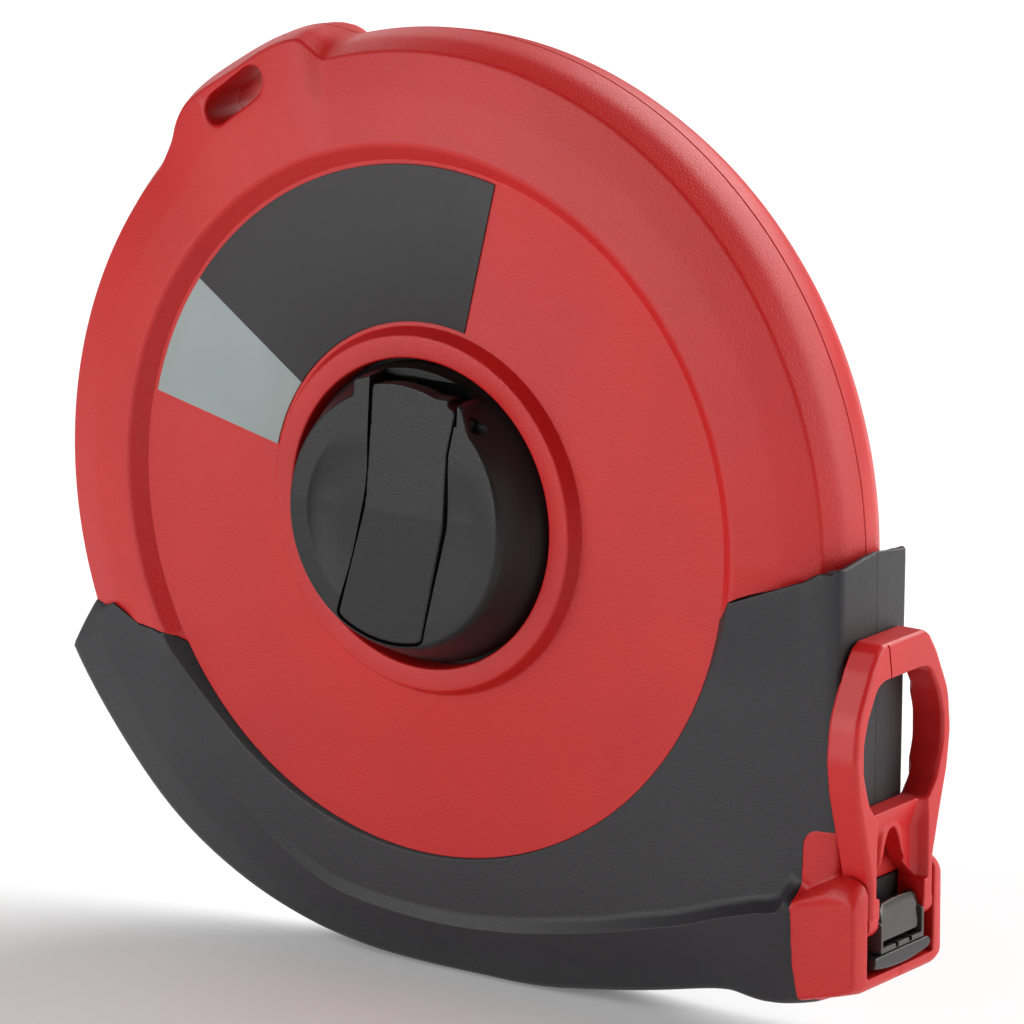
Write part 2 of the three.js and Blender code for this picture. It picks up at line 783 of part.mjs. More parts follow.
const earInner = 6.6;
const earOuter = 7.5;
const frameBottom = -73.7;
const earBlock = cut(
  seamBox(98.6, 103.8, earOuter, frameBottom, -65),
  seamBox(90, 110, earInner, -100, -50),
);
const earRound = cut(
  earBlock,
  seamBox(102.3, 110, 10, -68, -60),
  seamBox(90, 99.2, 10, -66.2, -60),
);
const frameBar = seamBox(103.1, 103.8, earOuter, frameBottom, frameBottom + 0.9);
const framePinHole = cylinderY(pivotRadius + 0.12, seamY - 20, seamY + 20, pivotX, pivotZ, 20);
place('clamp_frame', cut(union(earRound, frameBar), framePinHole), 0x3d3c3d, 0.3, 0.6);
place(
  'hook_pin',
  cylinderY(pivotRadius, seamY - 11.2, seamY + 11.2, pivotX, pivotZ, 20),
  steel,
  0.3,
  0.9,
);

// The finger loop, drawn across its width (along Y) and up from the hinge (along Z).
const hookBack = 97.6;
const hookFront = 103.6;

function loopOutline(points) {
  const shape = new THREE.Shape();
  const all = [...points, ...points.slice().reverse().map(([w, z]) => [-w, z])];
  shape.moveTo(all[0][0], all[0][1]);
  all.slice(1).forEach(([w, z]) => shape.lineTo(w, z));
  return shape;
}

// Extrudes a shape drawn as (width from the seam, Z) from x0 to x1.
function acrossX(shape, x0, x1, bevel = 0) {
  const geometry = new THREE.ExtrudeGeometry(shape, {
    depth: x1 - x0 - 2 * bevel,
    bevelEnabled: bevel > 0,
    bevelThickness: bevel,
    bevelSize: bevel,
    bevelOffset: -bevel,
    bevelSegments: 2,
    curveSegments: 10,
  });
  geometry.rotateX(Math.PI / 2);
  geometry.rotateZ(Math.PI / 2);
  geometry.translate(x0 + bevel, seamY, 0);
  return solid(geometry);
}

const loopOuter = loopOutline([
  [8, pivotZ], [11.3, pivotZ], [11.4, -57], [13.3, -48.8], [15.8, -42], [17, -36.5], [17.1, -32],
  [16.2, -26.8], [14.3, -22], [11.4, -17.2], [8.8, -13.6], [7.3, -12.7],
]);
const loopInner = loopOutline([
  [9.4, -46.4], [11.6, -43.6], [13.2, -39.6], [14, -35], [13.7, -31], [12.4, -26.4], [9.8, -21.8],
  [6.6, -19.8],
]);
const legGap = loopOutline([[8, -73], [8, -61.4], [6.8, -60.4]]);
const keyhole = loopOutline([
  [7.2, -61.2], [5.6, -59], [3.9, -56.6], [2.6, -54.6], [2.2, -52.6], [1.2, -50.8],
]);
const bossEnds = cylinderY(3, seamY - 11.3, seamY + 11.3, pivotX, pivotZ, 28);
const bossMiddle = seamBox(90, 110, 8, -73, -61.4);
const panelRelief = seamBox(101.4, 110, 8.4, -62, -45);
place(
  'end_hook',
  cut(
    union(acrossX(loopOuter, hookBack, hookFront, 0.8), bossEnds),
    acrossX(loopInner, 90, 110),
    acrossX(legGap, 90, 110),
    acrossX(keyhole, 90, 110),
    bossMiddle,
    panelRelief,
    cylinderY(pivotRadius + 0.1, seamY - 20, seamY + 20, pivotX, pivotZ, 20),
  ),
  red,
  0.5,
);

export default group;
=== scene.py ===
"""The looks of a surveyor's tape reel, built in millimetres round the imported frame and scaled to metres."""

import math

import bmesh
import bpy
from mathutils import Matrix, Vector


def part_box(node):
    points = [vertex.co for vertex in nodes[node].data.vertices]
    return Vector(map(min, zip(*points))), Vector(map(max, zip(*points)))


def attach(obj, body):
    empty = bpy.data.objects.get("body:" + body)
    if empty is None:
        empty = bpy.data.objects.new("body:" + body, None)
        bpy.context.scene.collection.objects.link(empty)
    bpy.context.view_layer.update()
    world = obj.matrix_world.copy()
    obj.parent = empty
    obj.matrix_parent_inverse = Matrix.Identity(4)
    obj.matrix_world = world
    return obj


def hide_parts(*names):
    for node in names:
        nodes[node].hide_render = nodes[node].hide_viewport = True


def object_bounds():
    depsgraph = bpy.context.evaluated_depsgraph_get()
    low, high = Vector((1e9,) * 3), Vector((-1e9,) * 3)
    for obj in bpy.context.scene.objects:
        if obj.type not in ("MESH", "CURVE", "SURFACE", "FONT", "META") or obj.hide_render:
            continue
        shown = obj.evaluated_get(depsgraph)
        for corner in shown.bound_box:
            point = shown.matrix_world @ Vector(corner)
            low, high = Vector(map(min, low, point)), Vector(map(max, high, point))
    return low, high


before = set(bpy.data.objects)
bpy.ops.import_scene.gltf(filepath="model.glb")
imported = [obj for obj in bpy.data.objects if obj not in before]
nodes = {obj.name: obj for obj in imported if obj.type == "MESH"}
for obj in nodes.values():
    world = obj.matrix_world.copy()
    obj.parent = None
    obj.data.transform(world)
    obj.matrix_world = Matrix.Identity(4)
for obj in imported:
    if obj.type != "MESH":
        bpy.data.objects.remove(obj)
cad_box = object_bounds()

# ---------------- driving sizes, in millimetres

DISC_RADIUS = 70.0
DISC_GAP = 24.5  # between the front and the back disc
SEAM_Y = -DISC_GAP / 2
FRONT_DISC = -DISC_GAP
HALF_SEAM = 0.05  # each half stops this far from the seam plane
BAND_TOP_RADIUS = 73.3
BAND_HEIGHT = 3.0
CASE_RADIUS = 94.4
SIDE_DRAFT = 3.5
CREASE_HEIGHT = -2.1
WALL_X = 96.95
RING_INNER = 31.1
RING_OUTER = 35.6
RING_FOOT = 37.0
RING_HEIGHT = 3.2
WALL_THICKNESS = 2.4
GROUND_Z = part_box("front_bumper")[0].z * 1000
ROUND_STEPS = 480  # points round a case half
FACE_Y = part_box("crank_hub")[0].y * 1000
HINGE_Y = -32.5
HINGE_Z = 20.8
PIVOT_X, _, PIVOT_Z = (sum(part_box("hook_pin"), Vector()) * 500)
TAPE_Z = sum(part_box("tape_leader"), Vector()).z * 500
LOOP_BACK = 97.15
WING_BACK = 96.4  # the legs reach back past the case's end wall on the outside
LOOP_FRONT = 103.55


# ---------------- curves

def clamp01(value):
    return max(0.0, min(1.0, value))


def smooth(value):
    value = clamp01(value)
    return value * value * (3 - 2 * value)


def lerp(a, b, share):
    return a + (b - a) * share


def through(pairs):
    """A smooth function through (place, value) pairs, flat beyond its ends."""
    xs = [p[0] for p in pairs]
    ys = [p[1] for p in pairs]
    last = len(pairs) - 1
    slopes = []
    for i in range(last + 1):
        low, high = max(0, i - 1), min(last, i + 1)
        slopes.append((ys[high] - ys[low]) / (xs[high] - xs[low]))

    def value(x):
        if x <= xs[0]:
            return ys[0]
        if x >= xs[-1]:
            return ys[-1]
        i = max(k for k in range(last) if xs[k] <= x)
        width = xs[i + 1] - xs[i]
        t = (x - xs[i]) / width
        rise = (1 + 2 * t) * (1 - t) ** 2 * ys[i] + t * t * (3 - 2 * t) * ys[i + 1]
        return rise + width * (t * (1 - t) ** 2 * slopes[i] - t * t * (1 - t) * slopes[i + 1])

    return value


def polar(points):
    """(degrees, radius) pairs of points given as (x, z), in order of angle."""
    return sorted((math.degrees(math.atan2(z, x)), math.hypot(x, z)) for x, z in points)


def filleted(corners, closed=False):
    """A path with rounded corners. A corner is (a, b, radius, steps) and gives steps + 1 points."""
    count = len(corners)
    path = []
    for i, (a, b, radius, steps) in enumerate(corners):
        here = Vector((a, b))
        if steps == 0 or (not closed and i in (0, count - 1)):
            path.append(here)
            continue
        before = Vector(corners[i - 1][:2]) - here
        after = Vector(corners[(i + 1) % count][:2]) - here
        half = max(before.angle(after) / 2, 0.01)
        reach = min(radius / math.tan(half), before.length * 0.45, after.length * 0.45)
        start = here + before.normalized() * reach
        end = here + after.normalized() * reach
        bulge = math.sin(half)  # makes the three-point curve a true arc
        for k in range(steps + 1):
            t = k / steps
            weight = 2 * t * (1 - t) * bulge
            total = (1 - t) ** 2 + weight + t * t
            path.append(((1 - t) ** 2 * start + weight * here + t * t * end) / total)
    return path


# ---------------- mesh helpers

def new_object(name, points, faces):
    mesh = bpy.data.meshes.new(name)
    mesh.from_pydata([tuple(p) for p in points], [], faces)
    mesh.validate()
    obj = bpy.data.objects.new(name, mesh)
    bpy.context.scene.collection.objects.link(obj)
    return obj


def loft(name, rings, closed=True):
    """Joins rings of the same number of points. A closed loft is a loop of rings, an open one gets caps."""
    count = len(rings[0])
    points = [p for ring in rings for p in ring]
    faces = []
    spans = len(rings) if closed else len(rings) - 1
    for i in range(spans):
        a = i * count
        b = ((i + 1) % len(rings)) * count
        for k in range(count):
            m = (k + 1) % count
            faces.append((a + k, a + m, b + m, b + k))
    if not closed:
        faces.append(tuple(range(count - 1, -1, -1)))
        faces.append(tuple(range((len(rings) - 1) * count, len(rings) * count)))
    obj = new_object(name, points, faces)
    face_outward(obj)
    return obj


def face_outward(obj):
    """Turns a closed mesh's faces so that they all look outwards."""
    edit = bmesh.new()
    edit.from_mesh(obj.data)
    bmesh.ops.recalc_face_normals(edit, faces=edit.faces)
    if edit.calc_volume(signed=True) < 0:
        bmesh.ops.reverse_faces(edit, faces=edit.faces)
    edit.to_mesh(obj.data)
    edit.free()


def apply_modifiers(obj):
    """Replaces a mesh by what its modifiers make of it."""
    graph = bpy.context.evaluated_depsgraph_get()
    mesh = bpy.data.meshes.new_from_object(obj.evaluated_get(graph))
    obj.modifiers.clear()
    old = obj.data
    obj.data = mesh
    bpy.data.meshes.remove(old)


def combine(target, tools, operation):
    """Joins, cuts or keeps the overlap of target with each tool, which is used up."""
    for tool in tools:
        step = target.modifiers.new("combine", "BOOLEAN")
        step.operation = operation
        step.solver = "MANIFOLD"
        step.object = tool
        apply_modifiers(target)
        bpy.data.objects.remove(tool)
    return target


def cut(target, *tools):
    return combine(target, tools, "DIFFERENCE")


def join(target, *tools):
    return combine(target, tools, "UNION")


def overlap(target, *tools):
    return combine(target, tools, "INTERSECT")


def soften(obj, voxel, rounds):
    """Remeshes a solid finely and rounds its edges a little, as a moulding's edges are."""
    remesh = obj.modifiers.new("remesh", "REMESH")
    remesh.mode = "VOXEL"
    remesh.voxel_size = voxel
    even = obj.modifiers.new("even", "SMOOTH")
    even.factor = 0.5
    even.iterations = rounds
    apply_modifiers(obj)
    return obj


def box(x0, x1, y0, y1, z0, z1):
    ring = [(x0, z0), (x1, z0), (x1, z1), (x0, z1)]
    return loft("box", [[(x, y, z) for x, z in ring] for y in (y0, y1)], closed=False)


def seam_box(x0, x1, half_width, z0, z1):
    return box(x0, x1, SEAM_Y - half_width, SEAM_Y + half_width, z0, z1)


def prism(outline, y0, y1):
    """An outline of (x, z) points, extruded along Y."""
    return loft("prism", [[(x, y, z) for x, z in outline] for y in (y0, y1)], closed=False)


def across(outline, x0, x1):
    """An outline of (half-width from the seam, z) points, extruded along X."""
    return loft("across", [[(x, SEAM_Y + w, z) for w, z in outline] for x in (x0, x1)], closed=False)


def disc_points(radius, x, z, sides):
    turns = [2 * math.pi * k / sides for k in range(sides)]
    return [(x + radius * math.cos(t), z + radius * math.sin(t)) for t in turns]


def rod_y(radius, y0, y1, x=0.0, z=0.0, sides=96):
    return prism(disc_points(radius, x, z, sides), y0, y1)


def rod_x(radius, x0, x1, y, z, sides=64):
    rings = [[(x, y + a, z + b) for a, b in disc_points(radius, 0, 0, sides)] for x in (x0, x1)]
    return loft("rod", rings, closed=False)


def lathe(profile, x=0.0, z=0.0, sides=192):
    """Turns a closed profile of (radius, y) about a line along Y. Points on the axis are merged."""
    rings = []
    for k in range(sides):
        t = 2 * math.pi * k / sides
        rings.append([(x + r * math.cos(t), y, z + r * math.sin(t)) for r, y in profile])
    obj = loft("lathe", rings)
    edit = bmesh.new()
    edit.from_mesh(obj.data)
    bmesh.ops.remove_doubles(edit, verts=edit.verts, dist=1e-5)
    edit.to_mesh(obj.data)
    edit.free()
    face_outward(obj)
    return obj


def mirror_half(obj):
    """Turns a front-half tool into its twin on the back."""
    for vertex in obj.data.vertices:
        vertex.co.y = 2 * SEAM_Y - vertex.co.y
    face_outward(obj)
    return obj


def finish_piece(obj, name, body, material, replaced=(), sharp_angle=40):
    """Scales a finished piece to metres, shades it, dresses it and lets it ride on its body."""
    obj.name = name
    obj.data.name = name
    obj.data.transform(Matrix.Scale(0.001, 4))
    obj.data.shade_smooth()
    obj.data.set_sharp_from_angle(angle=math.radians(sharp_angle))
    obj.data.materials.clear()
    obj.data.materials.append(material)
    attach(obj, body)
    if replaced:
        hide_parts(*replaced)
    return obj


# ---------------- materials

def new_material(name, colour, roughness, metallic=0.0, specular=0.5):
    material = bpy.data.materials.new(name)
    material.use_nodes = True
    shader = material.node_tree.nodes["Principled BSDF"]
    shader.inputs["Base Color"].default_value = (*colour, 1)
    shader.inputs["Roughness"].default_value = roughness
    shader.inputs["Metallic"].default_value = metallic
    shader.inputs["Specular IOR Level"].default_value = specular
    return material, material.node_tree, shader


def add_noise(tree, scale, detail=2.0, stretch=(1, 1, 1)):
    place = tree.nodes.new("ShaderNodeTexCoord")
    mapping = tree.nodes.new("ShaderNodeMapping")
    mapping.inputs["Scale"].default_value = stretch
    noise = tree.nodes.new("ShaderNodeTexNoise")
    noise.inputs["Scale"].default_value = scale
    noise.inputs["Detail"].default_value = detail
    tree.links.new(place.outputs["Object"], mapping.inputs["Vector"])
    tree.links.new(mapping.outputs["Vector"], noise.inputs["Vector"])
    return noise.outputs["Fac"]


def spread(tree, source, low, high):
    """Maps a 0.3 to 0.7 noise value to low to high."""
    ramp = tree.nodes.new("ShaderNodeMapRange")
    ramp.inputs["From Min"].default_value = 0.3
    ramp.inputs["From Max"].default_value = 0.7
    ramp.inputs["To Min"].default_value = low
    ramp.inputs["To Max"].default_value = high
    tree.links.new(source, ramp.inputs["Value"])
    return ramp.outputs["Result"]


def add_bump(tree, shader, source, strength, distance, before=None):
    bump = tree.nodes.new("ShaderNodeBump")
    bump.inputs["Strength"].default_value = strength
    bump.inputs["Distance"].default_value = distance
    tree.links.new(source, bump.inputs["Height"])
    if before:
        tree.links.new(before, bump.inputs["Normal"])
    tree.links.new(bump.outputs["Normal"], shader.inputs["Normal"])
    return bump.outputs["Normal"]


def shade_between(tree, source, dark, light):
    mix = tree.nodes.new("ShaderNodeMix")
    mix.data_type = "RGBA"
    mix.inputs["A"].default_value = (*dark, 1)
    mix.inputs["B"].default_value = (*light, 1)
    tree.links.new(source, mix.inputs["Factor"])
    return mix.outputs["Result"]


def moulded(name, dark, light, roughness, grain=2600.0, depth=0.00006, strength=0.5, specular=0.5):
    """Moulded plastic or rubber: a fine spark-eroded grain, faint flow marks and an uneven gloss."""
    material, tree, shader = new_material(name, light, roughness, specular=specular)
    clouds = add_noise(tree, 38.0, 3.0)
    grain_noise = add_noise(tree, grain, 2.0)
    colour = shade_between(tree, spread(tree, clouds, 0.0, 1.0), dark, light)
    tree.links.new(colour, shader.inputs["Base Color"])
    rough = spread(tree, grain_noise, roughness - 0.07, roughness + 0.07)
    tree.links.new(rough, shader.inputs["Roughness"])
    coarse = add_bump(tree, shader, add_noise(tree, grain * 0.5, 1.0), strength * 0.12, depth)
    add_bump(tree, shader, grain_noise, strength, depth, coarse)
    return material


def metal(name, colour, roughness, stretch=(1, 1, 1), metallic=1.0):
    """Plated or coated metal with faint drawing lines."""
    material, tree, shader = new_material(name, colour, roughness, metallic)
    lines = add_noise(tree, 1500.0, 3.0, stretch)
    tree.links.new(spread(tree, lines, roughness - 0.08, roughness + 0.1), shader.inputs["Roughness"])
    patches = spread(tree, add_noise(tree, 160.0), 0, 1)
    tint = shade_between(tree, patches, [c * 0.86 for c in colour], colour)
    tree.links.new(tint, shader.inputs["Base Color"])
    add_bump(tree, shader, lines, 0.25, 0.00002)
    return material


# Colours are linear. The numbers after them are roughness, grain per metre, grain depth, strength and sheen.
red_plastic = moulded(
    "red_plastic", (0.48, 0.0045, 0.004), (0.54, 0.0062, 0.0055), 0.46, 2600, 0.0001, 0.8)
loop_plastic = moulded(
    "loop_plastic", (0.50, 0.007, 0.007), (0.56, 0.009, 0.009), 0.42, 3200, 0.00003, 0.35)
bumper_rubber = moulded(
    "bumper_rubber", (0.014, 0.013, 0.0155), (0.018, 0.017, 0.0195), 0.52, 2400, 0.0001, 0.6)
crank_plastic = moulded(
    "crank_plastic", (0.006, 0.0053, 0.0062), (0.008, 0.0072, 0.0082), 0.46, 2600, 0.00008, 0.6, 0.4)
insert_plastic = moulded(
    "insert_plastic", (0.018, 0.017, 0.018), (0.024, 0.022, 0.024), 0.4, 3200, 0.00003)
drum_plastic = moulded(
    "drum_plastic", (0.03, 0.03, 0.032), (0.04, 0.04, 0.043), 0.55, 2200)
label_dark = moulded(
    "label_dark", (0.015, 0.0135, 0.0152), (0.018, 0.0165, 0.0182), 0.5, 3600, 0.00003, 0.4, 0.42)
label_light = moulded(
    "label_light", (0.25, 0.30, 0.29), (0.29, 0.34, 0.33), 0.45, 3600, 0.00003, 0.4)
plated_steel = metal("plated_steel", (0.62, 0.61, 0.58), 0.28, (1, 9, 1))
clamp_coating = metal("clamp_coating", (0.075, 0.067, 0.058), 0.22, (1, 1, 7), 0.35)


# ---------------- outline of the case, by angle

LUG_FROM, LUG_TO = 105.5, 139.0
lug_seam = through([(105.5, 94.4), (107, 95.6), (109, 97.2), (111, 98.5), (114, 99.1), (122, 99.4),
                    (129, 99.3), (132, 98.4), (135, 96.4), (139, 94.4)])
lug_crease = through([(107.4, 91), (110.6, 96.5), (121.8, 96.2), (129, 96.6), (132, 95.2), (134.5, 92.8),
                      (138, 91)])

bumper_seam = through(polar([
    (-95.6, -43.2), (-83.9, -60.3), (-68, -76.8), (-52.2, -86.6), (-36, -92.6), (-20, -95.5), (-6, -96.3),
    (7, -96.4), (20, -96.3), (33.9, -94.6), (47, -92.4), (60, -89.6), (70, -87.7), (78, -88.3), (86, -87.1),
    (93, -84.5), (96.95, -79.5),
]))
BUMPER_TIP = -155.7  # where the bumper stands out furthest on the left
BUMPER_LEFT = -160.2
WALL_FOOT = -39.4

# Profiles of the bumper along its length, as (degrees, millimetres). Heights are above the front disc.
crest_height = through([
    (-160, 3), (-150, 2.9), (-146, 2.3), (-138, 1.5), (-128, 1.15), (-113, 0.8), (-90, 0.45), (-22, 0.4),
    (-6, 2.9), (0, 2.95),
])
valley_height = through([
    (-160, 2.1), (-152, 2), (-145, 1.7), (-135, 1.35), (-122, 0.95), (-105, 0.4), (-90, 0.1), (-60, -0.4),
    (-40, -0.7), (-25, -0.3), (-3, 1.0), (0, 1.0),
])
ridge_radius = through([
    (-156, 79), (-145, 79.6), (-135, 80.5), (-122, 82.3), (-107, 84.4), (-101, 84.1), (-95, 83.8),
    (-87, 84), (-78, 84.9), (-68.5, 86.9), (-62, 89.3), (-56, 92.1), (-50, 96.2), (-45, 99.9),
    (-41, 104), (-37.5, 108), (-30, 103), (0, 90),
])
ridge_rise = through([
    (-152, -0.5), (-140, 0), (-125, 0), (-107, 0.35), (-95, 0.7), (-80, 1.1), (-70, 1.5), (-60, 1.9),
    (-52, 2.4), (-45, 2.9), (-41, 3.5), (-37.5, 4.2), (-36.5, 4.2), (-35, 0), (-34, 0),
])
bumper_draft = through([(-160, 3.4), (-125, 3), (-95, 2), (-60, 1.6), (-40, 0.9), (0, 0.5)])
bumper_crease_height = through([(-160, -2.4), (-125, -3.8), (-90, -4.6), (-60, -4), (-40, -1.8), (0, -0.8)])


def bumper_outline(angle):
    """The bumper's radius at the seam. It ramps out of the round case on the left."""
    if angle < BUMPER_TIP:
        share = (angle - BUMPER_LEFT) / (BUMPER_TIP - BUMPER_LEFT)
        return lerp(CASE_RADIUS + 0.3, bumper_seam(BUMPER_TIP), clamp01(share))
    if angle > WALL_FOOT:
        return WALL_X / math.cos(math.radians(angle))
    return bumper_seam(angle)


def bumper_corners(angle, inset):
    """Corners of the bumper's section from the disc's edge to the seam, moved inwards by inset."""
    edge = bumper_outline(angle) - inset * lerp(1, 1.55, smooth((angle + 12) / 10))
    crease = edge - bumper_draft(angle)
    ridge = min(ridge_radius(angle), crease - 6)
    crest = crest_height(angle)
    valley_up = valley_height(angle) - inset
    ridge_up = valley_up + ridge_rise(angle)
    crease_up = bumper_crease_height(angle) - 0.6 * inset
    ridge_rounding = lerp(4, 0.35, smooth((angle + 125) / 18))
    return [
        (DISC_RADIUS + 0.1 + inset, -1.6 - 0.3 * inset, 0, 0),
        (DISC_RADIUS + 0.12 + inset, 0.02 - inset, 0.1, 3),
        (DISC_RADIUS + 0.1 + 1.1 * crest + inset, crest - inset, 0.8 * min(1.2, crest), 6),
        (ridge - 2.6, valley_up, 2.8, 6),
        (ridge, ridge_up, ridge_rounding, 6),
        (lerp(ridge, crease, 0.55), lerp(ridge_up, crease_up, 0.55) + 0.55, 18, 5),
        (crease, crease_up, lerp(3.2, 6.5, smooth((angle + 40) / 25)), 10),
        (edge - 0.1, -8.5, 8, 3),
        (edge, -DISC_GAP / 2 + HALF_SEAM, 0, 0),
    ]


# Angle of the bumper's left and right ends at each radius.
left_angle = through([(70, -149.3), (73.3, -152.5), (79.8, -155.3), (86, -157.9), (92, -160.2)])
right_angle = through([(70, -9.8), (73.3, -5.6), (83.6, -2.3), (91.8, 0.05), (96.95, 1.15)])
WALL_RISE = {7: 0.5, 8: 0.8}  # the wall's top edge rises towards the seam by these angles


def unit(angle):
    return math.cos(math.radians(angle)), math.sin(math.radians(angle))


def place_point(radius, up, angle):
    """A point of the front half from its radius, its height above the front disc and its angle."""
    c, s = unit(angle)
    return (radius * c, FRONT_DISC - up, max(radius * s, GROUND_Z))


def sheared_section(share, inset, dip):
    """The bumper's section at a share of its length. Each corner has its own angle, as the ends slant."""
    rough = bumper_corners(lerp(left_angle(85), right_angle(85), share), inset)
    corners = []
    for k, (near_radius, *_) in enumerate(rough):
        angle = lerp(left_angle(near_radius), right_angle(near_radius) + WALL_RISE.get(k, 0), share)
        radius, up, rounding, steps = bumper_corners(angle, inset)[k]
        if 2 <= k <= 5:
            up -= dip
        if k >= 6:
            radius -= dip
        corners.append((radius, up, rounding, steps, angle))
    path = filleted([c[:4] for c in corners])
    return [place_point(p[0], p[1], a) for p, a in zip(path, filleted_values(corners))]


def filleted_values(corners):
    """The angle that goes with each point of a filleted path."""
    values = []
    for i, (_, _, _, steps, value) in enumerate(corners):
        inside = 0 < i < len(corners) - 1
        values += [value] * (steps + 1 if steps and inside else 1)
    return values


EDGE_ROUND = 0.5  # rounding of the bumper's ends
BUMPER_LENGTH, BUMPER_STEPS = 250.0, 420
BUMPER_SKIN = 1.7


def bumper_shares():
    """Shares along the bumper with how far its skin dips there, closely spaced at its rounded ends."""
    ends = []
    for k in range(5):
        turn = math.pi / 2 * k / 4
        share = EDGE_ROUND * (1 - math.cos(turn)) / BUMPER_LENGTH
        ends.append((share, EDGE_ROUND * (1 - math.sin(turn))))
    middle = [(k / BUMPER_STEPS, 0.0) for k in range(1, BUMPER_STEPS)]
    return ends + middle + [(1 - share, dip) for share, dip in reversed(ends)]


def make_bumper():
    """The front bumper as a closed slab: an outer skin, an inner skin and the edges between them."""
    rows = []
    for share, dip in bumper_shares():
        outer = sheared_section(share, 0, dip)
        inner = sheared_section(share, BUMPER_SKIN, 0)
        rows.append(outer + inner[::-1])
    count = len(rows[0])
    half = count // 2
    points = [p for row in rows for p in row]
    faces = []
    for i in range(len(rows) - 1):
        for k in range(count):
            m = (k + 1) % count
            faces.append((i * count + k, i * count + m, (i + 1) * count + m, (i + 1) * count + k))
    last = (len(rows) - 1) * count
    for k in range(half - 1):
        faces.append((k + 1, k, count - 1 - k, count - 2 - k))
        faces.append((last + k, last + k + 1, last + count - 2 - k, last + count - 1 - k))
    obj = new_object("bumper", points, faces)
    face_outward(obj)
    return obj


def bumper_plan(gap):
    """The bumper's outline seen from the front, gap degrees larger and reaching well past the case."""
    radii = [DISC_RADIUS + 0.05, 70.6, 71.4, 72.3, 73.3, 75, 77.5, 80, 83, 86, 89, 92, 95, 97, 112]
    steps = 240
    first, last = right_angle(radii[0]) + gap, left_angle(radii[0]) - gap
    inner = [(radii[0], lerp(last, first, k / steps)) for k in range(1, steps)]
    first, last = right_angle(radii[-1]) + gap, left_angle(radii[-1]) - gap
    outer = [(radii[-1], lerp(first, last, k / steps)) for k in range(1, steps)]
    right = [(r, right_angle(r) + gap) for r in radii]
    left = [(r, left_angle(r) - gap) for r in reversed(radii)]
    return [(r * unit(a)[0], r * unit(a)[1]) for r, a in right + outer + left + inner]


# ---------------- red case halves

def under_bumper(angle, radius):
    """How far the red skin is inside the bumper: 0 where it shows, 1 under the bumper."""
    from_left = angle - left_angle(radius) - 0.5
    from_right = right_angle(radius) - 0.5 - angle
    return smooth(from_left / 3) * smooth(from_right / 3)


def red_section(angle, has_window):
    """One closed section of a red case half, outside and inside, at an angle in degrees."""
    hidden_top, hidden_middle, hidden_edge = (under_bumper(angle, r) for r in (73.3, 82, 93))
    in_lug = LUG_FROM < angle < LUG_TO
    edge = lug_seam(angle) if in_lug else CASE_RADIUS
    crease = lug_crease(angle) if in_lug else CASE_RADIUS - SIDE_DRAFT + 0.1
    edge = lerp(edge, bumper_outline(angle) - 2.1, hidden_edge)
    crease = lerp(crease, bumper_outline(angle) - bumper_draft(angle) - 2.6, hidden_edge)
    step_top = BAND_HEIGHT - 4.2 * hidden_top
    crease_up = CREASE_HEIGHT - 2.5 * hidden_edge
    solid_lug = smooth((angle - 108) / 4) * (1 - smooth((angle - 133) / 4))
    inner_edge = lerp(edge - WALL_THICKNESS, 82, solid_lug)
    inner_crease = lerp(crease - WALL_THICKNESS, 81, solid_lug)
    bulge = 0.45 - 1.8 * hidden_middle
    corners = []
    if has_window:
        corners += [
            (RING_INNER, RING_HEIGHT, 0.5, 4),
            (RING_OUTER, RING_HEIGHT, 0.7, 5),
            (RING_FOOT, 0, 0.5, 4),
        ]
        inner_end = [(RING_INNER, -2.2, 0, 0)]
    else:
        corners += [(0.02, 0, 0, 0)]
        inner_end = [(0.02, -2.2, 0, 0)]
    corners += [
        (DISC_RADIUS, 0, 0.45, 4),
        (BAND_TOP_RADIUS, step_top, 1.9, 7),
        (lerp(BAND_TOP_RADIUS, crease, 0.55), lerp(step_top, crease_up, 0.55) + bulge, 22, 4),
        (crease, crease_up, 1.5, 7),
        (lerp(crease, edge, 0.62) + 0.25, lerp(crease_up, -12.2, 0.45), 9, 4),
        (edge, -DISC_GAP / 2 + HALF_SEAM, 0.25, 3),
        (inner_edge, -DISC_GAP / 2 + HALF_SEAM, 0.2, 2),
        (inner_crease, crease_up - 2.6, 2, 3),
        (BAND_TOP_RADIUS - 1, step_top - 2.5, 1, 3),
        (DISC_RADIUS - 0.6, -2.2, 1, 3),
    ]
    path = filleted(corners + inner_end, closed=True)
    return [place_point(p[0], p[1], angle) for p in path]


def under_bumper_cutter():
    """Takes the red skin away where the bumper lies, so that it ends in a small wall at the bumper."""
    return prism(bumper_plan(0.06), -60, FRONT_DISC + 2.6)


def make_half(has_window):
    """A red case half, with the ring and window of the crank or without."""
    angles = [-180 + 360 * k / ROUND_STEPS for k in range(ROUND_STEPS)]
    return loft("half", [red_section(a, has_window) for a in angles])


# ---------------- lanyard slot

LUG_FACE_RADIUS = 96.3  # where the lug's face meets its crease
SLOT_CENTRE = (-48.2, 77.8)
SLOT_LENGTH, SLOT_WIDTH, SLOT_CORNER = 16.4, 6.6, 1.9
SLOT_TILT = math.radians(36.6)


def face_height(radius):
    """Height of the lug's face at a radius."""
    share = (radius - BAND_TOP_RADIUS) / (LUG_FACE_RADIUS - BAND_TOP_RADIUS)
    return lerp(BAND_HEIGHT, CREASE_HEIGHT, share) + 0.3


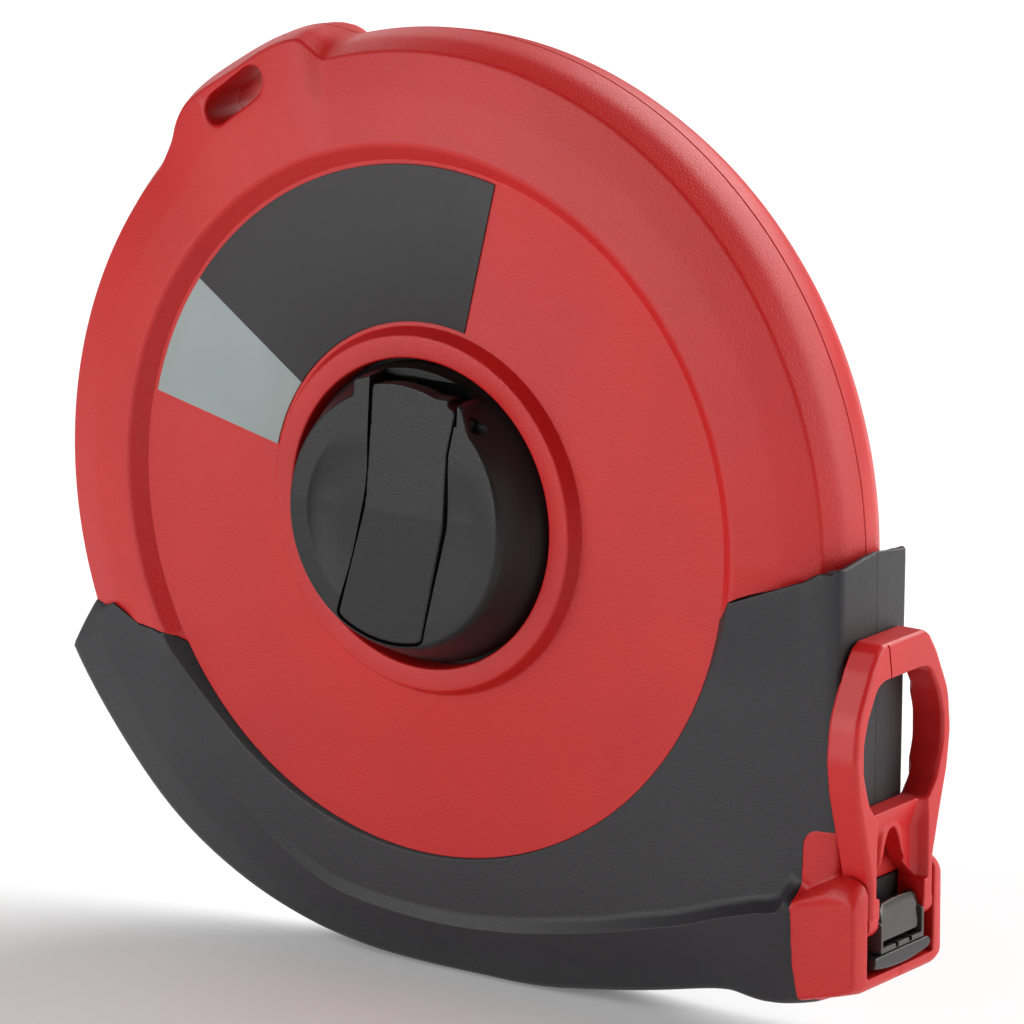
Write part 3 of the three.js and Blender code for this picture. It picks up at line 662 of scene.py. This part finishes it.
def slot_ring(grow, depth, y=None):
    """A loop round the slot, grown outwards, that lies depth below the lug's face or at a given y."""
    half_long, half_wide = SLOT_LENGTH / 2 + grow, SLOT_WIDTH / 2 + grow
    corner = SLOT_CORNER + grow
    centres = [(half_long - half_wide, 0, -90), (half_wide - half_long, 0, 90)]
    ring = []
    for cx, cz, first in centres:
        for k in range(25):
            turn = math.radians(first + 180 * k / 24)
            swell = 1 + 0.08 * abs(math.sin(2 * turn)) * corner / half_wide
            a = cx + half_wide * swell * math.cos(turn)
            b = cz + half_wide * math.sin(turn)
            x = SLOT_CENTRE[0] + a * math.cos(SLOT_TILT) - b * math.sin(SLOT_TILT)
            z = SLOT_CENTRE[1] + a * math.sin(SLOT_TILT) + b * math.cos(SLOT_TILT)
            ring.append((x, FRONT_DISC - face_height(math.hypot(x, z)) + depth if y is None else y, z))
    return ring


def slot_tool():
    """A cutter for the slot with a flared mouth, so that the cut leaves a rounded edge."""
    rings = [slot_ring(1.1, -3)]
    for k in range(7):
        turn = math.pi / 2 * k / 6
        rings.append(slot_ring(0.9 * (1 - math.sin(turn)), 0.9 * (1 - math.cos(turn)) - 0.05))
    rings.append(slot_ring(-0.1, 0, SEAM_Y - 1.0))
    rings.append(slot_ring(0.15, 0, SEAM_Y + 1.0))
    return loft("slot", rings, closed=False)


# ---------------- mouth block

CHEEK_INNER = 11.8  # half-width between the cheeks
POCKET_BACK = 97.2
INSERT_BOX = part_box("mouth_insert")
INSERT_BOTTOM = INSERT_BOX[0].z * 1000
INSERT_TOP = INSERT_BOX[1].z * 1000
INSERT_HALF_WIDTH = 9.8
POCKET_FLOOR = INSERT_BOTTOM - 0.3


def make_insert_duct():
    """The space that the mouth insert fills, cut out of the case and the mouth block."""
    return seam_box(80, 98, INSERT_HALF_WIDTH + 0.35, POCKET_FLOOR, INSERT_TOP + 0.3)


def offset_outline(points, distance):
    """Moves a closed outline inwards by distance. The outline runs anticlockwise."""
    count = len(points)
    moved = []
    for i in range(count):
        before, here, after = (Vector(points[j % count]) for j in (i - 1, i, i + 1))
        first = (here - before).normalized()
        second = (after - here).normalized()
        normal = Vector((-first.y, first.x)) + Vector((-second.y, second.x))
        length = normal.length
        scale = distance * 2 / max(length * length, 0.6) if length else 0
        moved.append(tuple(here + normal * scale))
    return moved


def slanted_block(back, front, y_back, y_shoulder, y_front):
    """A block along Y from the outline back to the smaller outline front, with slanted, rounded sides."""
    rings = [[(x, y_back, z) for x, z in back]]
    rounding = ((0, 0), (0.08, 0.25), (0.25, 0.52), (0.5, 0.78), (0.75, 0.93), (0.92, 0.985), (1, 1))
    for share, rise in rounding:
        y = lerp(y_shoulder, y_front, rise)
        rings.append([(lerp(a[0], b[0], share), y, lerp(a[1], b[1], share)) for a, b in zip(back, front)])
    return loft("block", rings, closed=False)


def plan(corners):
    """A closed outline of (x, z) points with rounded corners, from (x, z, radius) corners."""
    return [tuple(p) for p in filleted([(x, z, r, 10 if r else 0) for x, z, r in corners], closed=True)]


def mouth_region(grow):
    """The red patch at the mouth, seen from the front, grown on the side where it meets the bumper."""
    return plan([
        (90.2 - grow, -100, 0), (130, -100, 0), (130, -48.6 + grow, 0), (88.3 - grow, -50.2 + grow, 3.6),
        (87.5 - grow, -66, 6), (88.1 - grow, -77, 8), (90.2 - grow, -85, 4),
    ])


def make_mouth(bumper_copy):
    """The front cheek of the mouth with the red patch above it."""
    back = plan([
        (80, -86.6, 0), (90, -84.1, 6), (98, -81.9, 8), (103.3, -80.3, 2.4), (103.4, -59.2, 4.5),
        (98.6, -57.4, 5), (89.6, -62.3, 8), (80, -67.6, 0),
    ])
    front = plan([
        (80, -85.4, 0), (90, -82.9, 6), (98, -80.7, 8), (102.2, -79.2, 2), (102, -61.7, 4.2),
        (96.4, -61.6, 5), (89.6, -63.9, 8), (80, -68.2, 0),
    ])
    y_front = FRONT_DISC - 3.7
    block = slanted_block(back, front, SEAM_Y + 3, FRONT_DISC + 0.2, y_front)
    for vertex in block.data.vertices:
        if vertex.co.y < FRONT_DISC:
            share = (FRONT_DISC - vertex.co.y) / (FRONT_DISC - y_front)
            vertex.co.y += 2.4 * smooth((93 - vertex.co.x) / 12) * share
    overlap(block, prism(mouth_region(0), -60, SEAM_Y + 2))
    patch = overlap(bumper_copy, prism(mouth_region(0), -60, SEAM_Y + 2))
    body = join(block, patch)
    cut(body, seam_box(POCKET_BACK, 130, CHEEK_INNER, POCKET_FLOOR, -40), make_insert_duct())
    cut(body, box(60, 140, SEAM_Y - HALF_SEAM, 40, -120, 0))
    return body


# ---------------- case pieces

def copy_of(obj):
    """A copy with a mesh of its own."""
    twin = obj.copy()
    twin.data = obj.data.copy()
    bpy.context.scene.collection.objects.link(twin)
    return twin


SCREW_PLACES = [(39, 67.5), (-67.5, 39), (-63.9, -44.7), (62, -79), (83.5, -12)]
SCREW_HEAD_RADIUS = 3.0
mouth_opening = (mouth_region(1.5), -60, -10)

bumper = make_bumper()
front_mouth = soften(make_mouth(copy_of(bumper)), 0.3, 2)
cut(bumper, prism(mouth_region(-0.12), -60, SEAM_Y + 2))

front_half = make_half(True)
cut(front_half, slot_tool(), make_insert_duct(), prism(*mouth_opening), under_bumper_cutter())

rear_half = make_half(False)
cut(rear_half, slot_tool(), make_insert_duct(), prism(*mouth_opening), under_bumper_cutter())
join(rear_half, rod_y(2, FRONT_DISC + 0.02, FRONT_DISC + 2.18))
mirror_half(rear_half)
for x, z in SCREW_PLACES:
    cut(rear_half, rod_y(SCREW_HEAD_RADIUS + 0.7, -2.0, 20, x, z))

rear_bumper = mirror_half(copy_of(bumper))
for x, z in SCREW_PLACES:
    if math.hypot(x, z) > 74:
        cut(rear_bumper, rod_y(SCREW_HEAD_RADIUS + 0.9, -6.0, 20, x, z))
rear_mouth = mirror_half(copy_of(front_mouth))

finish_piece(front_half, "front_case", "case", red_plastic, ["front_shell"])
finish_piece(front_mouth, "front_mouth", "case", red_plastic)
finish_piece(rear_half, "rear_case", "case", red_plastic, ["rear_shell"])
finish_piece(rear_mouth, "rear_mouth", "case", red_plastic)
finish_piece(bumper, "front_grip", "case", bumper_rubber, ["front_bumper"])
finish_piece(rear_bumper, "rear_grip", "case", bumper_rubber, ["rear_bumper"])


# ---------------- label

LABEL_INNER, LABEL_OUTER = 37.9, 69.1
LABEL_RIGHT, LABEL_SPLIT, LABEL_LEFT = 76.4, 144.5, 166.7  # degrees
LABEL_BACK, LABEL_FACE = 0.02, 0.3  # heights of the film above the disc


def label_field(start, end):
    """A sector of printed film with softened edges."""
    rings = []
    steps = 96
    for k in range(steps + 1):
        angle = lerp(start, end, k / steps)
        section = filleted([
            (LABEL_INNER, LABEL_BACK, 0, 0), (LABEL_INNER, LABEL_FACE, 0.12, 3),
            (LABEL_OUTER, LABEL_FACE, 0.12, 3), (LABEL_OUTER, LABEL_BACK, 0, 0),
        ])
        rings.append([place_point(p[0], p[1], angle) for p in section])
    return loft("label", rings, closed=False)


# ---------------- crank

HUB_FOOT, HUB_RIM = 30.3, 25.2
BEND_Z = 2.0
LEAN_BACK = math.radians(4.4)
ARM_THICKNESS = 5.5
ARM_BACK = FACE_Y + ARM_THICKNESS
ARM_GAP = 0.5
ARM_END, ARM_TOP = 24.3, 27.4  # radii of the arm's round ends
HINGE_LEFT, HINGE_RIGHT = -6.3, 12.4
ARM_CORNER = 14.05  # x of the arm's top right corner
HUB_SIDES = 300
KNOB_X, KNOB_Z, KNOB_RADIUS = -1.0, -12.0, 7.0


def hub_body():
    """The tapered drum of the crank with a rounded rim and a stepped foot."""
    profile = filleted([
        (0, -20.8, 0, 0), (HUB_FOOT - 0.6, -20.8, 0.2, 2), (HUB_FOOT, FRONT_DISC - 0.4, 0.6, 4),
        (HUB_FOOT - 0.35, FRONT_DISC - 1.6, 1, 4), (HUB_RIM + 0.7, FACE_Y + 1.3, 0.8, 6),
        (HUB_RIM - 0.2, FACE_Y, 0.7, 6), (0, FACE_Y, 0, 0),
    ])
    return lathe(profile, sides=HUB_SIDES)


def lean_cutter():
    """Takes the upper half of the face down to a plane that leans back from the bend."""
    reach = 60
    rise = reach * math.tan(LEAN_BACK)
    top = BEND_Z + reach
    ring = [(FACE_Y - 20, BEND_Z), (FACE_Y, BEND_Z), (FACE_Y + rise, top), (FACE_Y - 20, top)]
    return loft("lean", [[(x, y, z) for y, z in ring] for x in (-reach, reach)], closed=False)


def arm_outline(grow):
    """The dog-leg arm seen from the front, between its round ends."""
    end_radius, top_radius = ARM_END + grow, ARM_TOP + grow
    right = [(6.8 + grow, -23.1), (12.2 + grow, 1), (12.4 + grow, 15), (14.0 + grow, 23.6)]
    left = [(-6 - grow, 26.7), (-6.6 - grow, 3), (-13.3 - grow, -20.0)]
    first = math.atan2(left[-1][1], left[-1][0])
    last = math.atan2(right[0][1], right[0][0])
    foot = [(end_radius * math.cos(t), end_radius * math.sin(t))
            for t in (lerp(first, last, k / 16) for k in range(1, 16))]
    first = math.atan2(right[-1][1], right[-1][0])
    last = math.atan2(left[0][1], left[0][0])
    head = [(top_radius * math.cos(t), top_radius * math.sin(t))
            for t in (lerp(first, last, k / 16) for k in range(1, 16))]
    corners = [(x, z, 2.2) for x, z in left[2:]] + [(x, z, 0) for x, z in foot]
    corners += [(right[0][0], right[0][1], 0.8), (*right[1], 18), (*right[2], 12), (*right[3], 0.8)]
    corners += [(x, z, 0) for x, z in head] + [(*left[0], 0.8), (*left[1], 22)]
    return plan(corners)


def hub_head():
    """The raised head round the hinge, with a sloping right shoulder."""
    body = lathe(filleted([
        (0, FRONT_DISC + 0.2, 0, 0), (29.7, FRONT_DISC + 0.2, 0.2, 2), (29.1, FACE_Y + 2.3, 0.8, 5),
        (27.8, FACE_Y + 0.6, 0.6, 3), (0, FACE_Y + 0.6, 0, 0),
    ]), sides=HUB_SIDES)
    shoulders = [(-10.7, 17), (17.6, 17), (17.6, 18.8), (15.5, 24.2), (16.4, 25), (16.4, 40), (-10.7, 40)]
    return overlap(body, prism(shoulders, FACE_Y - 1, 0))


def cut_hinge_space(body):
    """Cuts the arm's channel, the hinge recess and the way the arm takes when it folds out."""
    left, right, corner = HINGE_LEFT - ARM_GAP, HINGE_RIGHT + ARM_GAP, ARM_CORNER + ARM_GAP
    front = FACE_Y - 5
    channel = join(prism(arm_outline(ARM_GAP), front, ARM_BACK + 0.3),
                   rod_x(7.9, left, right, HINGE_Y, HINGE_Z, 96))
    heel = overlap(rod_x(6.4, 12, corner, HINGE_Y, HINGE_Z, 96), box(0, 30, HINGE_Y - 1.75, 0, 0, 40))
    top_slot = overlap(rod_y(28, front, FRONT_DISC - 3.5, sides=HUB_SIDES),
                       box(left, corner, front, 0, HINGE_Z, 40))
    fold_path = box(left, corner, front, FRONT_DISC - 4.3, HINGE_Z, 40)
    return cut(body, channel, heel, top_slot, fold_path)


def make_hub():
    """The crank's hub: softened, then cut crisply for the arm, its pin, the finger knob and a screw."""
    body = join(hub_body(), hub_head())
    cut(body, lean_cutter())
    dish_lobes(soften(body, 0.3, 2))
    cut_hinge_space(body)
    cut(body, rod_y(KNOB_RADIUS + 1.4, FACE_Y - 1, -16.4, KNOB_X, KNOB_Z))
    cut(body, rod_x(1.6, -13.5, 30, HINGE_Y, HINGE_Z))
    return cut(body, rod_y(3.3, FACE_Y, FACE_Y + 9, 0, 0), rod_y(1.7, FACE_Y, -10, 0, 0))


DISH_EDGE, DISH_INNER = 20.9, 7.5  # radii of the left thumb hollow, crisp at its outer edge
dish_share = through([(-21, 0), (-14, 0.3), (-6, 0.75), (0, 1.0), (5, 1.0), (10, 0.6), (14, 0.15), (17, 0)])


def dish_lobes(hub):
    """Presses a thumb hollow into the face on each side of the arm."""
    for vertex in hub.data.vertices:
        x, y, z = vertex.co
        radius = math.hypot(x, z)
        if y > FACE_Y + 2.4 or radius > HUB_RIM - 0.3:
            continue
        if x < 0:
            across_dish = clamp01((DISH_EDGE - radius) / (DISH_EDGE - DISH_INNER)) ** 0.7
            vertex.co.y += 1.1 * dish_share(z) * math.sin(math.pi * across_dish)
        else:
            vertex.co.y += 0.8 * dish_share(z * 1.1 + 1) * smooth((HUB_RIM - 0.6 - radius) / 6.5)
    return hub


def make_arm():
    """The folding arm: its bent front face, hinge barrel and rounded edges."""
    body = prism(arm_outline(-0.05), FACE_Y, ARM_BACK)
    join(body, rod_x(5.3, -6.1, 12.2, HINGE_Y, HINGE_Z, 96))
    cut(body, box(-20, 20, ARM_BACK, 0, 27.4, 40))
    cut(body, lean_cutter())
    cut(body, rod_x(1.65, -16.2, 30, HINGE_Y, HINGE_Z))
    cut(body, rod_y(2.1, ARM_BACK - 4.0, 0, KNOB_X, KNOB_Z))
    return soften(body, 0.22, 3)


def make_finger_knob():
    """A waisted knob with shallow grip flutes, hollow round its pin."""
    front, back = ARM_BACK + 0.3, -17.4
    profile = filleted([
        (2.2, front, 0, 0), (KNOB_RADIUS - 1, front, 0.3, 3), (KNOB_RADIUS - 0.3, front + 1, 0.8, 4),
        (KNOB_RADIUS - 1.0, (front + back) / 2, 6, 8), (KNOB_RADIUS - 0.6, back - 4, 1.6, 5),
        (KNOB_RADIUS - 1, back - 2, 1.4, 5), (KNOB_RADIUS - 1.9, back - 0.3, 0.8, 5), (4.4, back, 0.2, 2),
        (3.8, back, 0.2, 2), (3.8, back - 2, 0, 0), (2.2, back - 2, 0, 0),
    ], closed=True)
    knob = lathe(profile, KNOB_X, KNOB_Z, 216)
    for vertex in knob.data.vertices:
        dx, dz = vertex.co.x - KNOB_X, vertex.co.z - KNOB_Z
        radius = math.hypot(dx, dz)
        if radius > 5:
            along = smooth((vertex.co.y - front - 1) / 2) * smooth((back - 2 - vertex.co.y) / 2)
            dent = 0.28 * along * (0.5 - 0.5 * math.cos(18 * math.atan2(dz, dx)))
            vertex.co.x -= dx / radius * dent
            vertex.co.z -= dz / radius * dent
    return knob


finish_piece(make_hub(), "crank_body", "drum", crank_plastic, ["crank_hub"], 60)
finish_piece(make_arm(), "crank_lever", "crank_arm", crank_plastic, ["crank_arm"], 60)
finish_piece(make_finger_knob(), "crank_finger_knob", "finger_knob", crank_plastic,
             ["finger_knob"])

dark_field = label_field(LABEL_RIGHT, LABEL_SPLIT)
light_field = label_field(LABEL_SPLIT, LABEL_LEFT)
finish_piece(dark_field, "label_dark_field", "case", label_dark, ["label"])
finish_piece(light_field, "label_light_field", "case", label_light)


# ---------------- finger loop

LEG_HALF_WIDTH = 11.3


def both_sides(corners):
    """A closed outline, symmetrical about the seam, from (half-width, z, radius) corners of one side."""
    mirrored = [(-w, z, r) for w, z, r in reversed(corners)]
    points = plan(corners + mirrored)
    area = sum(a[0] * b[1] - b[0] * a[1] for a, b in zip(points, points[1:] + points[:1]))
    return points if area > 0 else points[::-1]


def bevelled_across(outline, levels):
    """An outline of (half-width, z), extruded along X through (x, inset) levels."""
    rings = []
    for x, inset in levels:
        ring = offset_outline(outline, inset) if inset else outline
        rings.append([(x, SEAM_Y + w, z) for w, z in ring])
    return loft("across", rings, closed=False)


def panel_face(z):
    """X of the crosspiece's face, which leans back as it goes down."""
    return 101.8 - 1.5 * smooth((-46.5 - z) / 6)


def panel_cutter():
    """The trough between the legs, with flared walls."""
    rings = []
    for k in range(25):
        z = lerp(-43, -62.5, k / 24)
        x = panel_face(z)
        rings.append([(x, SEAM_Y - 7.7, z), (x, SEAM_Y + 7.7, z), (x + 0.9, SEAM_Y + 8.5, z),
                      (105, SEAM_Y + 9.7, z), (105, SEAM_Y - 9.7, z), (x + 0.9, SEAM_Y - 8.5, z)])
    return loft("trough", rings, closed=False)


def make_loop():
    """The finger loop: the ring, the crosspiece with its panel and keyhole, and the legs on the pin."""
    outer = both_sides([
        (LEG_HALF_WIDTH, PIVOT_Z, 0), (11.4, -58.4, 4), (13.9, -49.2, 9), (16.2, -41.4, 12),
        (17.2, -34.2, 12), (16.3, -26.2, 14), (11.8, -17.4, 10), (9.3, -13.9, 2.5), (7.4, -12.7, 1.8),
    ])
    body = bevelled_across(outer, [
        (WING_BACK, 0.9), (WING_BACK + 0.8, 0), (102.7, 0), (103.25, 0.35), (LOOP_FRONT, 0.95),
    ])
    cut(body, seam_box(90, LOOP_BACK, 12.75, -80, 0))
    join(body, rod_y(3.0, SEAM_Y - LEG_HALF_WIDTH, SEAM_Y + LEG_HALF_WIDTH, PIVOT_X, PIVOT_Z))
    inner = both_sides([
        (9.0, -46.5, 1.2), (11.8, -43.2, 6), (14.0, -36.5, 10), (13.9, -30.5, 10), (12.3, -25.8, 10),
        (9.2, -20.6, 4), (6.4, -19.9, 3),
    ])
    cut(body, bevelled_across(inner, [(95, 0), (102.9, 0), (103.5, -0.35), (104.5, -1.6)]))
    cut(body, panel_cutter())
    hood = both_sides([(5.2, -60.5, 0), (4.4, -55.4, 3), (3.6, -50.6, 3), (1.2, -49.2, 2)])
    join(body, bevelled_across(hood, [(99.5, 0), (100.7, 0), (101.1, 0.5)]))
    keyhole = both_sides([
        (8.6, -62.5, 0), (7.3, -61, 1), (5.3, -59, 3), (3.4, -56, 3), (2.4, -53, 3), (1.0, -50.6, 2),
    ])
    leg_gap = both_sides([(8, -76, 0), (8, -61, 1)])
    cut(body, bevelled_across(keyhole, [(90, 0), (110, 0)]), bevelled_across(leg_gap, [(90, 0), (110, 0)]))
    cut(body, rod_y(1.15, -60, 20, PIVOT_X, PIVOT_Z))
    soften(body, 0.22, 2)
    groove = [(-6.55, -10), (-6.1, -10), (-4.2, -22), (-4.65, -22)]
    return cut(body, across(groove, LOOP_FRONT - 0.5, 110))


# ---------------- clamp on the tape's end

CLAMP_HALF_WIDTH, FRAME_HALF_WIDTH = 6.3, 7.6
PLATE_TOP, PLATE_FOOT = -64.7, -71.8


def make_clamp_plate():
    """The crowned plate that clamps the tape, with its base round the tape."""
    rings = []
    for k in range(33):
        side = -1 + 2 * k / 32
        drop = 0.75 * max(0.0, abs(side) - 0.86) / 0.14
        top = PLATE_TOP + 0.5 * (1 - side * side) - drop
        ring = []
        for m in range(17):
            share = m / 16
            z = lerp(top, PLATE_FOOT, share)
            ring.append((102.25 + 0.85 * math.sin(share * 2.1) + 0.06 * math.sin(share * 9), z))
        back = [(x - 0.75, z) for x, z in reversed(ring)]
        rings.append([(x, SEAM_Y + side * CLAMP_HALF_WIDTH, z) for x, z in ring + back])
    plate = loft("plate", rings, closed=False)
    base = seam_box(98.4, 102.9, CLAMP_HALF_WIDTH, TAPE_Z - 1.2, TAPE_Z + 1.2)
    join(plate, base)
    cut(plate, seam_box(90, 100.9, 8, TAPE_Z - 0.33, TAPE_Z + 0.33))
    cut(plate, seam_box(102.95, 110, 0.18, -71.2, -69.6))
    return soften(plate, 0.14, 2)


def make_clamp_frame():
    """The stirrup round the clamp: two ears on the loop's pin and a bar with two gaps in front."""
    low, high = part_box("clamp_frame")
    foot, top = low.z * 1000, high.z * 1000
    bar_top, half, inside = -68, FRAME_HALF_WIDTH, FRAME_HALF_WIDTH - 0.7
    outline = plan([
        (-half, bar_top, 0.4), (-half, foot, 0.8), (half, foot, 0.8), (half, bar_top, 0.4),
        (inside, bar_top, 0.2), (inside, foot + 0.95, 0.3), (-inside, foot + 0.95, 0.3),
        (-inside, bar_top, 0.2),
    ])
    frame_body = across(outline, 102.6, 103.7)
    for side in (-1, 1):
        ear = plan([
            (98.7, foot, 0), (103.7, foot, 0), (103.7, bar_top, 0.5), (102.2, -67.4, 1), (101.6, top, 1.2),
            (99.2, top, 1.4), (98.7, -66.6, 1),
        ])
        inner, outer = sorted((SEAM_Y + side * inside, SEAM_Y + side * half))
        join(frame_body, prism(ear, inner, outer))
    for gap in (-1.85, 2.95):
        cut(frame_body, box(100, 110, SEAM_Y + gap - 0.5, SEAM_Y + gap + 0.5, foot + 0.12, -70))
    cut(frame_body, rod_y(1.13, -60, 20, PIVOT_X, PIVOT_Z))
    return soften(frame_body, 0.12, 2)


# ---------------- mouth insert

def make_insert():
    """The liner of the mouth: a box with the tape's slot and a lip that swells in the middle."""
    body = seam_box(84.4, 97, INSERT_HALF_WIDTH, INSERT_BOTTOM, INSERT_TOP)
    rings = []
    for k in range(49):
        side = -1 + 2 * k / 48
        swell = 1 - side * side
        end = math.sqrt(max(0.0, 1 - max(0.0, (abs(side) - 0.93) / 0.07) ** 2 * 0.6))
        middle = -75.35 - 0.4 * swell
        half = (1.15 + 0.6 * swell) * end
        profile = filleted([(96.8, middle - half, 0, 0), (103.85, middle - half, 1.0 * end, 6),
                            (103.85, middle + half, 0.55 * end, 5), (96.8, middle + half, 0, 0)])
        rings.append([(p[0], SEAM_Y + side * INSERT_HALF_WIDTH, p[1]) for p in profile])
    join(body, loft("lip", rings, closed=False))
    join(body, seam_box(96.5, 98.2, INSERT_HALF_WIDTH + 1.6, INSERT_BOTTOM + 0.2, -73.2))
    cut(body, seam_box(80, 110, 7.6, TAPE_Z - 1.5, TAPE_Z + 1.5))
    cut(body, seam_box(80, 94, 8.2, INSERT_BOTTOM + 1.6, TAPE_Z - 2.7))
    cut(body, seam_box(80, 94, 8.2, TAPE_Z + 2.7, INSERT_TOP - 1.4))
    return soften(body, 0.2, 2)


# ---------------- screws

def make_case_screw(node):
    """A countersunk case screw with a cross recess, where the frame has it."""
    low, high = (v * 1000 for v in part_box(node))
    x, z = (low.x + high.x) / 2, (low.z + high.z) / 2
    back = high.y
    profile = filleted([
        (0, low.y, 0, 0), (1.5, low.y + 1.0, 0.2, 2), (1.5, back - 1.8, 0.2, 2),
        (SCREW_HEAD_RADIUS, back - 1.8, 0.2, 3), (SCREW_HEAD_RADIUS, back - 0.6, 0.4, 4),
        (1.6, back, 1.5, 4), (0, back, 0, 0),
    ])
    screw = lathe(profile, x, z, 64)
    for half_x, half_z in ((1.8, 0.38), (0.38, 1.8)):
        cut(screw, box(x - half_x, x + half_x, back - 1.25, back + 2, z - half_z, z + half_z))
    return screw


finish_piece(make_loop(), "finger_loop", "hook", loop_plastic, ["end_hook"], 60)
finish_piece(make_clamp_plate(), "clamp_plate", "tape_end", clamp_coating,
             ["tape_clamp"], 60)
finish_piece(make_clamp_frame(), "clamp_stirrup", "tape_end", clamp_coating,
             ["clamp_frame"], 60)
finish_piece(make_insert(), "mouth_lip", "case", insert_plastic, ["mouth_insert"], 60)
for number in range(1, 6):
    screw_node = f"case_screw_{number}"
    screw = make_case_screw(screw_node)
    finish_piece(screw, f"screw_{number}", "case", plated_steel, [screw_node])


# ---------------- finishes of the pieces kept

def tape_material():
    """Off-white glass-fibre tape with plain tick marks along one edge."""
    material, tree, shader = new_material("tape_fibreglass", (0.74, 0.68, 0.42), 0.4)
    weave = add_noise(tree, 900.0, 2.0, (0.15, 6, 1))
    base = shade_between(tree, spread(tree, weave, 0, 1), (0.66, 0.6, 0.34), (0.78, 0.72, 0.46))
    place = tree.nodes.new("ShaderNodeTexCoord")
    parts = tree.nodes.new("ShaderNodeSeparateXYZ")
    tree.links.new(place.outputs["Object"], parts.inputs["Vector"])

    def step(kind, first, second):
        node = tree.nodes.new("ShaderNodeMath")
        node.operation = kind
        for socket, value in zip(node.inputs, (first, second)):
            if isinstance(value, (int, float)):
                socket.default_value = value
            else:
                tree.links.new(value, socket)
        return node.outputs["Value"]

    def ticks(pitch, reach):
        line = step("LESS_THAN", step("PINGPONG", parts.outputs["X"], pitch / 2), 0.00012)
        near_edge = step("GREATER_THAN", parts.outputs["Y"], SEAM_Y * 0.001 + 0.0065 - reach)
        return step("MULTIPLY", line, near_edge)

    marks = step("MAXIMUM", ticks(0.002, 0.0028), ticks(0.01, 0.0055))
    mix = tree.nodes.new("ShaderNodeMix")
    mix.data_type = "RGBA"
    mix.inputs["B"].default_value = (0.03, 0.03, 0.03, 1)
    tree.links.new(marks, mix.inputs["Factor"])
    tree.links.new(base, mix.inputs["A"])
    tree.links.new(mix.outputs["Result"], shader.inputs["Base Color"])
    add_bump(tree, shader, weave, 0.3, 0.00004)
    return material


tape_film = tape_material()
dark_pin = metal("dark_pin", (0.09, 0.085, 0.08), 0.3, (1, 9, 1), 0.8)
kept_finishes = {
    "drum": drum_plastic,
    "drum_front_flange": drum_plastic,
    "tape_coil": tape_film,
    "tape_leader": tape_film,
    "tape_anchor_pin": plated_steel,
    "hub_screw": plated_steel,
    "spindle": plated_steel,
    "spindle_washer": plated_steel,
    "crank_hinge_pin": dark_pin,
    "finger_knob_pin": plated_steel,
    "hook_pin": dark_pin,
}
for node_name, finish in kept_finishes.items():
    for material_slot in nodes[node_name].material_slots:
        material_slot.material = finish


# ---------------- camera, floor and light

def aim(obj, place, target):
    obj.location = place
    obj.rotation_euler = (Vector(target) - Vector(place)).to_track_quat("-Z", "Y").to_euler()
    bpy.context.scene.collection.objects.link(obj)


def soft_light(name, place, target, size, power):
    light = bpy.data.lights.new(name, "AREA")
    light.shape = "RECTANGLE"
    light.size, light.size_y = size
    light.energy = power
    aim(bpy.data.objects.new(name, light), place, target)


lens = bpy.data.cameras.new("camera")
lens.lens = 247.9
lens.sensor_width = 36
lens.clip_start = 0.05
camera = bpy.data.objects.new("camera", lens)
aim(camera, (0.7954, -1.1136, 0.3263), (0.02023, -0.0245, 0.00266))
bpy.context.scene.camera = camera

floor_material, _, floor_shader = new_material("studio_floor", (0.92, 0.92, 0.92), 0.9, specular=0.1)
floor_shader.inputs["Emission Color"].default_value = (1, 1, 1, 1)
floor_shader.inputs["Emission Strength"].default_value = 0.1
floor_mesh = bpy.data.meshes.new("studio_floor")
floor_z = cad_box[0].z
floor_corners = [(x, y, floor_z) for x, y in ((-8, -8), (8, -8), (8, 8), (-8, 8))]
floor_mesh.from_pydata(floor_corners, [], [(0, 1, 2, 3)])
floor_mesh.materials.append(floor_material)
floor = bpy.data.objects.new("studio_floor", floor_mesh)
bpy.context.scene.collection.objects.link(floor)

for light_name, place, size, power in (
    ("key_left", (-0.75, -1.25, 0.5), (1.2, 1.5), 14),
    ("low_front", (-0.2, -1.6, 0.1), (1.5, 0.8), 7),
    ("back_top", (0.4, 1.4, 1.3), (2.0, 1.4), 42),
    ("right_back", (1.6, 0.7, 0.5), (1.4, 1.2), 20),
    ("left_back", (-1.4, 0.9, 0.7), (1.2, 1.2), 6),
):
    soft_light(light_name, place, (0, 0, 0), size, power)
world = bpy.data.worlds.new("studio")
world.use_nodes = True
world.node_tree.nodes["Background"].inputs["Color"].default_value = (1, 1, 1, 1)
world.node_tree.nodes["Background"].inputs["Strength"].default_value = 0.08
bpy.context.scene.world = world
bpy.context.scene.view_settings.view_transform = "Standard"
